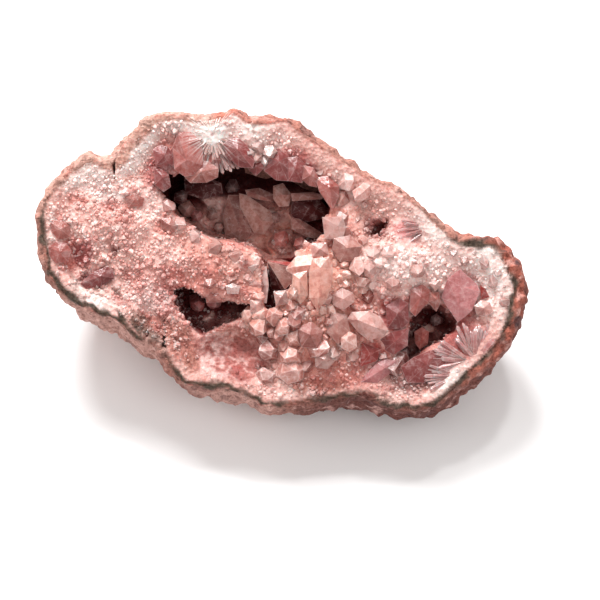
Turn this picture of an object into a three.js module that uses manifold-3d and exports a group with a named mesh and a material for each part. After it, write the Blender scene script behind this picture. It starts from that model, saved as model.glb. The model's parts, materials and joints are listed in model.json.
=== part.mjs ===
// Pink amethyst geode: the broken half of a hollow nodule, lying on its back with the
// broken face tilted toward the viewer. Millimetres, +Z up, +X along the long side.
//
// It has two pieces: the stone rind, a lumpy bowl, and the quartz crust that lines it,
// with its hollows and the crystals that are grown together with it.
//
// Shapes on the broken face are given in face coordinates (u, v, w): u to the right,
// v up the face and w straight out of it, with w = 0 at the broken edge.

import * as THREE from 'three';
import { mergeVertices } from 'three/addons/utils/BufferGeometryUtils.js';
import Module from 'manifold-3d';

const wasm = await Module();
wasm.setup();

// How the broken face stands: its tilt from level and the place of its middle

const FACE_TILT = THREE.MathUtils.degToRad(25);
const FACE_MIDDLE = [0.1, -1.1, 26];

// The rind: its wall at the broken edge, on the left and on the thicker right end, its
// floor, and how far below the face the stone is widest

const RIND_WALL = 2.0;
const RIND_WALL_RIGHT = 3.4;
const RIGHT_END = [24, 40];
const RIND_FLOOR = 3.2;
const GIRDLE_DEPTH = 3.5;
const GIRDLE_STEP = 0.8;
const LIP_DEPTH = 1.5;
const BREAK_HEIGHT = 0.5;
const REST_CUT = 0.6;
const PIECE_GAP = 0.3;

// The bowl's curve (2 is an ellipse, more is squarer), and lines that its rings close on:
// one along the face, one along the floor

const OUTER_POWER = 2.6;
const INNER_POWER = 2.3;
const FACE_SPINE = [[-24, 4], [28, -7]];
const BOWL_SPINE = [[-13, 2.5], [15, 0]];
const LEAST_SLANT = 0.6;

// Lumps and finer grain of the outside

const LUMP_SIZE = 12;
const LUMP_HEIGHT = 1.6;
const GRAIN_SIZE = 4.5;
const GRAIN_HEIGHT = 0.55;

// How finely the shapes are divided

const AROUND = 68;
const OUTER_ROWS = 8;
const INNER_ROWS = 4;
const ROUNDING_REACH = 5;
const BED_CELL = 3.3;

// Blocks that are cut to shape: the bed's, the space over the face and the ground

const BED_WIDTH = 96;
const BED_LENGTH = 62;
const BLOCK_DEPTH = 60;
const SPACE_ABOVE = 12;
const GROUND_SIZE = [200, 200, 20];

// Outline of the rind's widest place, seen square to the face, clockwise from the left end

const OUTLINE = [
  [-46.1, 6.9], [-45.2, 11.5], [-42.2, 15.2], [-39.6, 18.2], [-36.2, 20.3], [-31.9, 19.3],
  [-30.4, 22.0], [-27.2, 25.4], [-23.4, 28.0], [-18.6, 28.1], [-13.6, 26.9], [-8.9, 28.7],
  [-5.0, 26.7], [1.0, 27.1], [4.4, 24.6], [9.2, 21.0], [14.6, 17.3], [19.8, 14.8],
  [24.8, 11.9], [29.0, 8.2], [33.2, 4.9], [39.6, 4.6], [43.0, 1.4], [45.3, -2.8],
  [45.9, -6.6], [44.4, -12.0], [42.2, -16.2], [38.8, -20.2], [33.6, -24.2], [28.6, -28.2],
  [24.0, -28.8], [18.4, -27.6], [15.2, -26.2], [9.6, -26.8], [4.4, -27.6], [-3.4, -28.4],
  [-6.4, -26.4], [-11.2, -24.8], [-17.8, -24.2], [-20.8, -21.6], [-23.4, -17.4],
  [-27.8, -15.4], [-31.2, -12.2], [-36.6, -10.2], [-41.2, -7.0], [-44.4, -2.6],
];

// Broad forms of the crystal bed: [u, v, reach in u, reach in v, height]

const SWELLS = [
  [-33.5, 6.5, 10, 8, 1.4],
  [-12.5, -1.0, 9, 4, 0.8],
  [5.0, -8.0, 7, 12, 2.6],
  [20.5, -1.0, 9, 5, 2.2],
  [12.5, -17.5, 9, 5, 1.0],
  [-10.5, -17.0, 8, 5, -3.2],
  [34.0, -9.0, 5, 6, -0.8],
  [-38.5, -1.0, 5, 5, -1.2],
];
const BED_DEPTH = 1.4;
const BED_SLOPE = 5;
const BED_GRAIN_SIZE = 3.2;
const BED_GRAIN_HEIGHT = 0.7;
const BED_JOG = 0.5;

// Hollows: the mouth's outline on the face, and levels as [w, scale, shift in v]

const MAIN_HOLLOW = {
  mouth: [
    [-22.8, 13.0], [-21.7, 14.8], [-18.0, 15.6], [-12.0, 15.8], [-5.4, 16.9], [1.5, 16.0],
    [5.9, 13.6], [9.4, 9.4], [7.8, 7.6], [7.4, 3.7], [4.3, 1.9], [1.5, -0.6], [-2.4, -0.8],
    [-5.9, 1.5], [-11.9, 3.1], [-16.1, 5.2], [-19.3, 7.4], [-21.6, 10.4],
  ],
  levels: [[7, 1, -0.4], [-3, 1, 0.4], [-7, 1.05, 1.0], [-11, 0.96, 0.4], [-14.5, 0.74, -0.4]],
};
const CLEFT = {
  mouth: [
    [-3.6, 0.6], [0.4, 0.4], [1.3, -4.6], [-0.4, -7.4], [-1.6, -10.7], [-3.4, -9.8], [-3.2, -5.6],
  ],
  levels: [[7, 1.05, 0], [-5, 0.95, 0], [-9, 0.6, 0.4]],
};
const LOWER_HOLLOW = {
  mouth: [
    [-20.7, -5.9], [-16.7, -5.6], [-14.3, -7.7], [-10.7, -7.9], [-5.9, -9.2], [-5.6, -10.2],
    [-9.8, -11.9], [-14.8, -14.2], [-17.2, -12.8], [-19.3, -9.6],
  ],
  levels: [[7, 1, -0.4], [-4, 1.05, 0.8], [-8, 0.95, 1.0], [-10.5, 0.6, 0.8]],
};
const RIGHT_HOLLOW = {
  mouth: [
    [26.4, -8.9], [29.3, -9.0], [32.6, -12.0], [31.9, -13.8], [29.6, -15.4], [26.3, -17.3],
    [22.8, -19.3], [21.4, -18.3], [22.4, -15.4], [23.7, -11.8],
  ],
  levels: [[7, 1, 0], [-4, 1.02, 0.5], [-7.5, 0.85, 0.4], [-9.5, 0.5, 0.3]],
};
const SMALL_POCKET = {
  mouth: [[16.0, 4.0], [17.0, 6.7], [19.8, 7.8], [19.5, 5.6], [17.8, 4.2]],
  levels: [[7, 1.1, 0], [-3, 0.8, 0], [-4.5, 0.4, 0]],
};
const HOLLOWS = [MAIN_HOLLOW, CLEFT, LOWER_HOLLOW, RIGHT_HOLLOW, SMALL_POCKET];
const HOLLOW_JOG = 0.06;
const HOLLOW_DIP = 0.5;

// Narrow cracks through the edge: [outer end, inner end, width, depth]

const CRACKS = [
  [[-31.6, 22.5], [-31.0, 14.8], 0.8, 4],
  [[-26.4, -18.5], [-24.6, -12.6], 0.7, 3],
  [[-21.9, -16.8], [-21.9, -10.8], 0.7, 3],
];
const CRACK_TOP = 3;

// Large crystals: [root, tip, radius]. The points are in face coordinates for the fringe
// over the main hollow and the crystals inside the hollows. On the left, in the middle
// and on the right, w is counted from the bed at the crystal's root.

const TOP_FRINGE = [
  [[-24.4, 20.9, -3.0], [-20.6, 16.0, -1.6], 2.0],
  [[-25.2, 17.2, -3.0], [-20.6, 12.8, -2.2], 2.0],
  [[-15.4, 23.4, -3.4], [-19.0, 16.4, -1.0], 2.5],
  [[-13.6, 22.6, -3.8], [-15.4, 14.8, -1.8], 2.6],
  [[-12.2, 22.6, -3.4], [-10.4, 15.2, -1.4], 2.2],
  [[-10.6, 22.8, -3.0], [-6.2, 17.6, -0.6], 2.3],
  [[-5.2, 22.4, -3.0], [-4.6, 17.2, -0.4], 2.0],
  [[-2.6, 22.0, -3.0], [-1.6, 17.0, -0.6], 1.8],
  [[-4.2, 19.2, -3.6], [-4.3, 15.2, -2.4], 1.0],
  [[1.4, 21.2, -4.2], [0.2, 14.4, -2.6], 2.7],
  [[4.0, 20.4, -4.4], [4.2, 14.4, -2.8], 2.2],
  [[6.8, 17.8, -3.2], [6.8, 14.2, -1.8], 1.3],
  [[9.2, 16.8, -3.0], [8.4, 13.2, -1.6], 1.3],
  [[11.6, 13.4, -4.6], [7.2, 10.4, -2.4], 2.4],
  [[12.0, 7.6, -4.0], [7.4, 5.6, -1.0], 2.4],
];
const HOLLOW_CRYSTALS = [
  [[2.6, -5.2, -13.0], [-2.6, -0.2, -5.0], 3.8],
  [[-0.4, 13.0, -16.0], [-0.4, 11.6, -9.6], 1.5],
  [[-4.6, 13.4, -17.5], [-3.2, 11.4, -11.6], 2.2],
  [[-7.0, 9.4, -18.0], [-6.6, 7.4, -12.2], 3.6],
  [[-12.8, 10.4, -18.0], [-13.6, 9.0, -13.0], 2.6],
  [[-17.8, 9.4, -16.0], [-16.2, 9.8, -11.0], 2.2],
  [[0.2, 3.4, -13.5], [0.2, 3.0, -8.6], 2.2],
  [[3.9, 3.2, -12.5], [3.6, 3.4, -7.6], 1.8],
  [[5.2, 10.6, -14.0], [3.2, 9.2, -8.6], 2.4],
  [[-19.6, 11.0, -12.0], [-17.6, 12.4, -7.4], 1.8],
  [[-10.6, -8.6, -9.0], [-11.2, -10.2, -5.4], 1.6],
  [[-16.4, -8.2, -10.5], [-15.4, -9.4, -6.8], 1.6],
  [[26.2, -15.8, -9.5], [25.0, -14.2, -4.4], 1.8],
];
const LEFT_CRYSTALS = [
  [[-37.6, -3.2, -0.8], [-30.8, -3.6, 1.4], 2.2],
  [[-27.2, 11.2, -2.0], [-26.4, 10.2, 2.2], 2.0],
  [[-38.7, 11.2, -2.0], [-37.8, 10.0, 2.0], 2.2],
  [[-41.0, 6.2, -2.0], [-39.4, 5.6, 2.0], 2.1],
  [[-41.0, 1.0, -2.4], [-39.0, 1.2, 2.2], 2.5],
  [[-34.6, 1.8, -2.0], [-34.4, 1.0, 2.4], 2.1],
  [[-22.6, 10.8, -2.6], [-20.0, 9.4, 1.4], 1.7],
  [[-20.6, 6.6, -2.6], [-17.8, 6.6, 1.6], 1.8],
  [[-17.2, 3.6, -2.6], [-15.0, 4.8, 1.6], 1.7],
  [[-13.4, 1.6, -2.6], [-11.4, 3.0, 1.6], 1.8],
  [[-9.6, 0.2, -2.6], [-7.4, 1.4, 1.6], 1.9],
  [[-6.4, -1.8, -3.0], [-4.0, -0.6, 1.2], 1.8],
  [[-5.8, -5.0, -3.0], [-3.4, -4.4, 1.2], 1.7],
  [[-5.4, -7.0, -2.4], [-4.0, -10.8, 0.4], 1.3],
  [[-9.6, -4.0, -2.0], [-9.0, -6.2, 2.0], 1.5],
  [[-13.6, -4.0, -2.0], [-13.2, -6.8, 1.6], 1.6],
];
const MIDDLE_CRYSTALS = [
  [[6.9, 1.6, -2.4], [6.5, -9.2, 3.2], 2.1],
  [[10.8, -4.6, -1.4], [11.3, -9.2, 3.0], 1.9],
  [[-0.6, -6.6, -2.4], [-1.2, -7.2, 2.4], 1.5],
  [[3.0, -5.4, -1.6], [1.8, -7.4, 3.4], 1.8],
  [[2.6, -11.0, -1.0], [1.4, -12.6, 3.4], 1.9],
  [[6.4, -13.6, -1.0], [6.0, -15.6, 3.2], 1.9],
  [[1.0, -15.8, -1.6], [-0.2, -17.2, 2.2], 1.7],
  [[4.6, -19.0, -1.6], [4.0, -21.0, 2.0], 1.8],
  [[9.4, -17.0, -2.0], [9.2, -18.6, 2.2], 1.8],
  [[13.4, -17.4, -2.4], [13.4, -19.0, 1.8], 1.6],
  [[4.4, 0.6, -3.6], [3.0, -0.4, 0.8], 1.9],
  [[10.2, 2.2, -2.6], [9.6, 1.2, 1.6], 2.0],
  [[13.0, 10.0, -3.0], [12.4, 9.0, 1.0], 2.0],
];
const RIGHT_CRYSTALS = [
  [[12.4, -11.0, 0.6], [20.6, -13.0, 3.4], 2.4],
  [[22.4, -8.6, -3.6], [20.4, -11.6, 2.0], 2.5],
  [[13.4, -23.2, -3.0], [20.8, -18.6, 0.6], 2.0],
  [[15.6, -15.6, -4.4], [17.6, -18.0, -0.2], 2.3],
  [[39.0, -1.6, -4.4], [30.6, -9.8, -0.2], 3.6],
  [[39.0, -8.6, -3.4], [36.4, -9.2, 0.8], 1.9],
  [[24.8, -5.0, -2.0], [24.4, -10.8, 1.2], 2.0],
  [[28.0, -5.8, -2.0], [28.2, -9.8, 0.8], 1.5],
  [[24.9, -2.6, -1.0], [25.4, -3.8, 3.0], 1.7],
  [[28.6, -3.8, -1.4], [28.2, -5.2, 2.4], 1.4],
  [[19.8, 1.6, -1.2], [19.6, 0.6, 3.2], 1.8],
  [[16.4, -1.6, -1.2], [15.8, -2.8, 3.2], 1.8],
  [[14.6, 3.0, -2.0], [14.2, 2.0, 2.2], 1.9],
  [[20.6, -4.0, -1.0], [20.2, -5.4, 3.2], 1.7],
  [[16.0, -6.4, -1.6], [15.8, -8.4, 2.6], 1.8],
  [[24.6, 4.8, -2.6], [22.4, 3.8, 1.0], 1.8],
];

// Fans of thin prisms: [root, first direction, last direction, number, length, radius],
// with directions in degrees, turned from u toward v

const FANS = [
  [[38.4, -18.2, -2.8], 176, 98, 5, 7.6, 1.2],
  [[34.6, -21.6, -2.8], 168, 112, 3, 6.4, 1.1],
  [[31.0, 1.2, -2.6], 212, 166, 3, 6.4, 1.1],
];
const FAN_RISE = [0.22, 0.47];
const FAN_LENGTHS = [0.8, 1.1];

// Small crystals on the bed: their spacing, how far they keep from large ones and from the
// crust's edge, how far they lean, and the ranges of their height and radius

const DRUSE_STEP = 5;
const DRUSE_CLEARANCE = 3;
const DRUSE_EDGE = 2.6;
const DRUSE_LEAN = 0.8;
const DRUSE_ROOT = -1.2;
const DRUSE_RISE = [1.2, 1.9];
const DRUSE_RADIUS = [1.1, 1.7];
const SMOOTH_SHELF = [[-19, -14.5], [-10, -11], [-3, -12], [-3, -23], [-16, -22]];

// A crystal's form: its point's height and its root's depth as shares of its radius, how
// narrow its root is, and how uneven its corners are

const TIP_RATIO = 1.15;
const ROOT_RATIO = 0.4;
const ROOT_WIDTH = 0.9;
const CORNER_SPREAD = 0.12;
const SIDE_HINT = [0.31, 0.17, 0.93];

// Values that vary smoothly, or at random, from place to place

function hash(i, j, k) {
  const wave = Math.sin(i * 127.1 + j * 311.7 + k * 74.7) * 43758.5453;
  return wave - Math.floor(wave);
}

function noise(point, size) {
  const [x, y, z] = point.map((c) => c / size);
  const [i, j, k] = [x, y, z].map(Math.floor);
  const [a, b, c] = [x - i, y - j, z - k].map((t) => t * t * (3 - 2 * t));
  let sum = 0;
  for (const [di, dj, dk] of [[0, 0, 0], [1, 0, 0], [0, 1, 0], [1, 1, 0],
    [0, 0, 1], [1, 0, 1], [0, 1, 1], [1, 1, 1]]) {
    const weight = (di ? a : 1 - a) * (dj ? b : 1 - b) * (dk ? c : 1 - c);
    sum += weight * hash(i + di, j + dj, k + dk);
  }
  return 2 * sum - 1;
}

const smooth = (low, high, x) => THREE.MathUtils.smoothstep(x, low, high);
const between = ([low, high], share) => low + (high - low) * share;

// From face coordinates to the part's own frame

function place([u, v, w]) {
  const [x, y, z] = FACE_MIDDLE;
  return [
    x + u,
    y + v * Math.cos(FACE_TILT) - w * Math.sin(FACE_TILT),
    z + v * Math.sin(FACE_TILT) + w * Math.cos(FACE_TILT),
  ];
}

const distance = (a, b) => Math.hypot(a[0] - b[0], a[1] - b[1], a[2] - b[2]);

// A closed solid from a first point, rings of equal count, and a last point. Each patch
// between two rings is split along its shorter diagonal.

function skin(first, rings, last) {
  const count = rings[0].length;
  const points = [first, ...rings.flat(), last];
  const end = points.length - 1;
  const triangles = [];
  for (let i = 0; i < count; i++) {
    const next = (i + 1) % count;
    triangles.push(0, 1 + next, 1 + i);
    for (let r = 0; r < rings.length - 1; r++) {
      const near = 1 + r * count;
      const far = near + count;
      const [a, b, c, d] = [near + i, near + next, far + next, far + i];
      if (distance(points[a], points[c]) < distance(points[b], points[d])) {
        triangles.push(a, b, c, a, c, d);
      } else {
        triangles.push(a, b, d, b, c, d);
      }
    }
    const edge = 1 + (rings.length - 1) * count;
    triangles.push(end, edge + i, edge + next);
  }
  return solid(points, triangles);
}

function signedVolume(points, triangles) {
  let volume = 0;
  for (let t = 0; t < triangles.length; t += 3) {
    const [a, b, c] = [0, 1, 2].map((n) => new THREE.Vector3(...points[triangles[t + n]]));
    volume += a.dot(b.cross(c)) / 6;
  }
  return volume;
}

function solid(points, triangles) {
  const facing = signedVolume(points, triangles) > 0 ? triangles : triangles.slice().reverse();
  return new wasm.Manifold(new wasm.Mesh({
    numProp: 3,
    vertProperties: new Float32Array(points.flat()),
    triVerts: new Uint32Array(facing),
  }));
}

// Rings around the stone

function nearest([[ax, ay], [bx, by]], [x, y]) {
  const [lx, ly] = [bx - ax, by - ay];
  const share = ((x - ax) * lx + (y - ay) * ly) / (lx * lx + ly * ly);
  const along = THREE.MathUtils.clamp(share, 0, 1);
  return [ax + lx * along, ay + ly * along];
}

function outlinePoints() {
  const curve = new THREE.CatmullRomCurve3(
    OUTLINE.map(([u, v]) => new THREE.Vector3(u, v, 0)), true, 'centripetal');
  curve.arcLengthDivisions = 1200;
  return curve.getSpacedPoints(AROUND).slice(0, AROUND).map((p) => [p.x, p.y]);
}

const outline = outlinePoints();
const bowlMiddle = [0, 1].map((axis) => (BOWL_SPINE[0][axis] + BOWL_SPINE[1][axis]) / 2);

// The outline moved in toward the face's spine by a distance square to itself

function inward(depth) {
  return outline.map(([u, v], i) => {
    const [su, sv] = nearest(FACE_SPINE, [u, v]);
    const before = outline[(i + AROUND - 1) % AROUND];
    const after = outline[(i + 1) % AROUND];
    const along = [after[0] - before[0], after[1] - before[1]];
    const [du, dv] = [u - su, v - sv];
    const reach = Math.hypot(du, dv);
    const slant = Math.abs(du * along[1] - dv * along[0]) / (reach * Math.hypot(...along));
    const scale = 1 - depth(u, v) / (Math.max(slant, LEAST_SLANT) * reach);
    return [su + du * scale, sv + dv * scale];
  });
}

const rindWall = (u) => between([RIND_WALL, RIND_WALL_RIGHT], smooth(...RIGHT_END, u));

// Rings from a rim down to a floor, which lose the rim's small corners on the way

function bowl(rim, floor, rows, power) {
  const rounded = rim.map((_, i) => [0, 1, 2].map((axis) => {
    let sum = 0;
    for (let step = -ROUNDING_REACH; step <= ROUNDING_REACH; step++) {
      sum += rim[(i + step + AROUND) % AROUND][axis];
    }
    return sum / (2 * ROUNDING_REACH + 1);
  }));
  const rings = [];
  for (let row = 0; row < rows; row++) {
    const turn = (row / rows) * Math.PI / 2;
    const reach = Math.cos(turn) ** (2 / power);
    const rise = 1 - Math.sin(turn) ** (2 / power);
    const blend = smooth(0, 0.55, row / rows);
    rings.push(rim.map((point, i) => {
      const [x, y, z] = point.map((c, axis) => THREE.MathUtils.lerp(c, rounded[i][axis], blend));
      const [sx, sy] = nearest(BOWL_SPINE, [x, y]);
      return [sx + (x - sx) * reach, sy + (y - sy) * reach, floor + (z - floor) * rise];
    }));
  }
  return rings;
}

// Moves a point of the rind's outside along the line from the stone's middle

function roughened(point) {
  const middle = new THREE.Vector3(...nearest(BOWL_SPINE, point), FACE_MIDDLE[2] / 2);
  const out = new THREE.Vector3(...point).sub(middle).normalize();
  const lump = LUMP_HEIGHT * noise(point, LUMP_SIZE) + GRAIN_HEIGHT * noise(point, GRAIN_SIZE);
  return [point[0] + out.x * lump, point[1] + out.y * lump, point[2] + out.z * lump];
}

const ringAt = (ring, w) => ring.map(([u, v]) => place([u, v, w]));
const rindLip = ringAt(inward(rindWall), -LIP_DEPTH);
const rindInside = bowl(rindLip, RIND_FLOOR, INNER_ROWS, INNER_POWER);

function rindSolid() {
  const girdle = outline.map(([u, v]) => place([u, v, -GIRDLE_DEPTH]));
  const outside = bowl(girdle, -REST_CUT, OUTER_ROWS, OUTER_POWER);
  outside.forEach((ring, row) => {
    if (row > 0) {
      outside[row] = ring.map(roughened);
    }
  });
  const broken = (u, v) => BREAK_HEIGHT * noise([u, v, 3], GRAIN_SIZE);
  const edge = inward(() => GIRDLE_STEP).map(([u, v]) => (
    place([u, v, broken(u, v) - BREAK_HEIGHT])));
  const lip = inward(rindWall).map(([u, v]) => place([u, v, broken(u, v)]));
  const underside = [...bowlMiddle, -REST_CUT];
  const rings = [...outside.reverse(), edge, lip, ...rindInside];
  const body = skin(underside, rings, [...bowlMiddle, RIND_FLOOR]);
  const ground = new THREE.BoxGeometry(...GROUND_SIZE).translate(0, 0, -GROUND_SIZE[2] / 2);
  return body.subtract(fromGeometry(ground));
}

function fromGeometry(geometry) {
  geometry.deleteAttribute('normal');
  geometry.deleteAttribute('uv');
  const merged = mergeVertices(geometry);
  const position = merged.getAttribute('position');
  const points = Array.from({ length: position.count }, (_, i) => (
    new THREE.Vector3().fromBufferAttribute(position, i).toArray()));
  return solid(points, Array.from(merged.index.array));
}

// The crystal bed's height over the face, before the hollows are cut

const crustRim = inward((u) => rindWall(u) + PIECE_GAP);

function edgeDistance(u, v) {
  return Math.min(...crustRim.map((point, i) => {
    const [su, sv] = nearest([point, crustRim[(i + 1) % AROUND]], [u, v]);
    return Math.hypot(u - su, v - sv);
  }));
}

function bedHeight(u, v) {
  const inside = smooth(0, BED_SLOPE, edgeDistance(u, v));
  let height = -BED_DEPTH * inside;
  for (const [cu, cv, ru, rv, rise] of SWELLS) {
    const away = ((u - cu) / ru) ** 2 + ((v - cv) / rv) ** 2;
    height += rise * Math.exp(-away) * inside;
  }
  return height + BED_GRAIN_HEIGHT * noise([u, v, 7], BED_GRAIN_SIZE) * inside;
}

const crustFloor = RIND_FLOOR + PIECE_GAP;
const crustLip = ringAt(crustRim, -LIP_DEPTH);

// The crust's back is the rind's inside, each line of points moved in by the gap at its lip

const crustBack = rindInside.map((ring, row) => ring.map(([x, y, z], i) => {
  const [dx, dy, dz] = [0, 1, 2].map((axis) => crustLip[i][axis] - rindLip[i][axis]);
  return [x + dx, y + dy, z + dz + (PIECE_GAP * row) / INNER_ROWS];
})).reverse();

// A block whose top is the crystal bed, on a grid of points that are set a little off square

function bedBlock() {
  const points = [];
  const triangles = [];
  const [columns, rows] = [Math.ceil(BED_WIDTH / BED_CELL), Math.ceil(BED_LENGTH / BED_CELL)];
  for (const base of [0, 1]) {
    for (let row = 0; row <= rows; row++) {
      for (let column = 0; column <= columns; column++) {
        const u = (column - columns / 2 + BED_JOG * (hash(column, row, 1) - 0.5)) * BED_CELL;
        const v = (row - rows / 2 + BED_JOG * (hash(column, row, 2) - 0.5)) * BED_CELL;
        points.push(place([u, v, base ? -BLOCK_DEPTH : bedHeight(u, v)]));
      }
    }
  }
  const line = columns + 1;
  const layer = line * (rows + 1);
  const side = (a, b) => triangles.push(a, a + layer, b + layer, a, b + layer, b);
  for (let row = 0; row < rows; row++) {
    for (let column = 0; column < columns; column++) {
      const a = row * line + column;
      const [b, c, d] = [a + 1, a + line + 1, a + line];
      triangles.push(a, b, c, a, c, d);
      triangles.push(a + layer, c + layer, b + layer, a + layer, d + layer, c + layer);
    }
  }
  for (let column = 0; column < columns; column++) {
    side(column, column + 1);
    side(rows * line + column + 1, rows * line + column);
  }
  for (let row = 0; row < rows; row++) {
    side((row + 1) * line, row * line);
    side(row * line + columns, (row + 1) * line + columns);
  }
  return solid(points, triangles);
}

// The space that the crust keeps to: the rind's inside, and all that is above the face

function crustSpace() {
  const rings = [...crustBack, ringAt(crustRim, SPACE_ABOVE)];
  return skin([...bowlMiddle, crustFloor], rings, place([0, 0, SPACE_ABOVE]));
}

function hollowSolid({ mouth, levels }) {
  const mean = [0, 1].map((axis) => mouth.reduce((sum, p) => sum + p[axis], 0) / mouth.length);
  const ring = ([w, scale, shift], level) => mouth.map(([u, v], i) => {
    const jog = level > 0 ? HOLLOW_JOG * (hash(i, level, 5) - 0.5) : 0;
    const reach = scale + jog;
    return place([mean[0] + (u - mean[0]) * reach, mean[1] + (v - mean[1]) * reach + shift, w]);
  });
  const [top, bottom] = [levels[0], levels[levels.length - 1]];
  const lid = place([mean[0], mean[1] + top[2], top[0]]);
  const floor = place([mean[0], mean[1] + bottom[2], bottom[0] - HOLLOW_DIP]);
  return skin(lid, levels.map(ring), floor);
}

function crackSolid([outer, inner, width, depth]) {
  const along = [inner[0] - outer[0], inner[1] - outer[1]];
  const length = Math.hypot(...along);
  const side = [(-along[1] / length) * width / 2, (along[0] / length) * width / 2];
  const wide = [
    [outer[0] + side[0], outer[1] + side[1]],
    [outer[0] - side[0], outer[1] - side[1]],
    [inner[0], inner[1]],
  ];
  const middle = [(outer[0] + inner[0]) / 2, (outer[1] + inner[1]) / 2];
  const rings = [CRACK_TOP, -depth].map((w) => ringAt(wide, w));
  return skin(place([...middle, CRACK_TOP]), rings, place([...middle, -depth]));
}

// A six-sided quartz crystal with a pointed end, its root sunk into the bed

function crystal([root, tip, radius], seed) {
  const from = new THREE.Vector3(...root);
  const to = new THREE.Vector3(...tip);
  const axis = to.clone().sub(from).normalize();
  const side = new THREE.Vector3(...SIDE_HINT).cross(axis).normalize();
  const other = axis.clone().cross(side);
  const shoulder = to.clone().addScaledVector(axis, -TIP_RATIO * radius);
  const base = from.clone().addScaledVector(axis, -ROOT_RATIO * radius);
  const ring = (centre, swell) => Array.from({ length: 6 }, (_, i) => {
    const angle = (i + hash(seed, 1, 2)) * Math.PI / 3;
    const reach = radius * swell * (1 + CORNER_SPREAD * (2 * hash(seed, i, 3) - 1));
    const corner = centre.clone()
      .addScaledVector(side, reach * Math.cos(angle))
      .addScaledVector(other, reach * Math.sin(angle));
    return place(corner.toArray());
  });
  const rings = [ring(base, ROOT_WIDTH), ring(shoulder, 1)];
  return skin(place(base.toArray()), rings, place(to.toArray()));
}

function fanCrystals([root, first, last, number, length, radius]) {
  return Array.from({ length: number }, (_, i) => {
    const angle = THREE.MathUtils.degToRad(first + ((last - first) * i) / (number - 1));
    const reach = length * between(FAN_LENGTHS, hash(i, number, 8));
    const tip = [
      root[0] + reach * Math.cos(angle),
      root[1] + reach * Math.sin(angle),
      root[2] + reach * between(FAN_RISE, hash(i, number, 9)),
    ];
    return [root, tip, radius];
  });
}

function seated([root, tip, radius]) {
  const level = bedHeight(root[0], root[1]);
  return [[root[0], root[1], root[2] + level], [tip[0], tip[1], tip[2] + level], radius];
}

// Small crystals all over the bed, away from its edge, the hollows and the large crystals

function insideOutline(mouth, [u, v]) {
  let inside = false;
  mouth.forEach(([au, av], i) => {
    const [bu, bv] = mouth[(i + 1) % mouth.length];
    if ((av > v) !== (bv > v) && u < au + ((bu - au) * (v - av)) / (bv - av)) {
      inside = !inside;
    }
  });
  return inside;
}

function druse(large) {
  const small = [];
  const [columns, rows] = [BED_WIDTH, BED_LENGTH].map((size) => Math.ceil(size / DRUSE_STEP / 2));
  for (let row = -rows; row <= rows; row++) {
    for (let column = -columns; column <= columns; column++) {
      const chance = (key) => hash(row, column, key);
      const u = (column + (row % 2) / 2 + chance(11) / 2) * DRUSE_STEP;
      const v = (row + chance(12) / 2) * DRUSE_STEP;
      const near = (point) => Math.hypot(point[0] - u, point[1] - v) < DRUSE_CLEARANCE;
      const onBed = insideOutline(crustRim, [u, v]) && edgeDistance(u, v) > DRUSE_EDGE;
      const bare = [SMOOTH_SHELF, ...HOLLOWS.map((hollow) => hollow.mouth)]
        .some((edge) => insideOutline(edge, [u, v]));
      if (onBed && !bare && !large.some(([root, tip]) => near(root) || near(tip))) {
        const [du, dv] = [chance(13) - 0.5, chance(14) - 0.5].map((lean) => 2 * DRUSE_LEAN * lean);
        const tip = [u + du, v + dv, between(DRUSE_RISE, chance(15))];
        small.push([[u, v, DRUSE_ROOT], tip, between(DRUSE_RADIUS, chance(16))]);
      }
    }
  }
  return small;
}

function crustSolid() {
  const large = [...LEFT_CRYSTALS, ...MIDDLE_CRYSTALS, ...RIGHT_CRYSTALS];
  const overhanging = [...TOP_FRINGE, ...HOLLOW_CRYSTALS, ...FANS.flatMap(fanCrystals)];
  const crystals = [
    ...overhanging,
    ...[...large, ...druse([...large, ...overhanging])].map(seated),
  ];
  const space = crustSpace();
  let crust = bedBlock().intersect(space);
  for (const hollow of HOLLOWS) {
    crust = crust.subtract(hollowSolid(hollow));
  }
  crystals.forEach((one, seed) => {
    crust = crust.add(crystal(one, seed).intersect(space));
  });
  return crust;
}

function mesh(name, manifold, material) {
  const { vertProperties, triVerts } = manifold.getMesh();
  const geometry = new THREE.BufferGeometry();
  geometry.setAttribute('position', new THREE.BufferAttribute(vertProperties, 3));
  geometry.setIndex(new THREE.BufferAttribute(triVerts, 1));
  const result = new THREE.Mesh(geometry, material);
  result.name = name;
  return result;
}

const cracks = CRACKS.map(crackSolid);
const cracked = (body) => cracks.reduce((rest, crack) => rest.subtract(crack), body);

const stone = new THREE.MeshStandardMaterial({ color: 0xa9806f, roughness: 0.9, metalness: 0 });
const quartz = new THREE.MeshStandardMaterial({ color: 0xe0b4b0, roughness: 0.2, metalness: 0 });

const geode = new THREE.Group();
geode.add(mesh('rind', cracked(rindSolid()), stone));
geode.add(mesh('crystal_crust', cracked(crustSolid()), quartz));

export default geode;
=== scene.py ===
"""Looks of a pink amethyst geode: stone rind, quartz bed, druse, large crystals and prisms.

Sizes on the broken face are in millimetres, in face coordinates (u, v, w): u to the right,
v up the face and w straight out of it. Every mesh is placed in the part's frame, in metres.
"""

import json
import math

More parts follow.
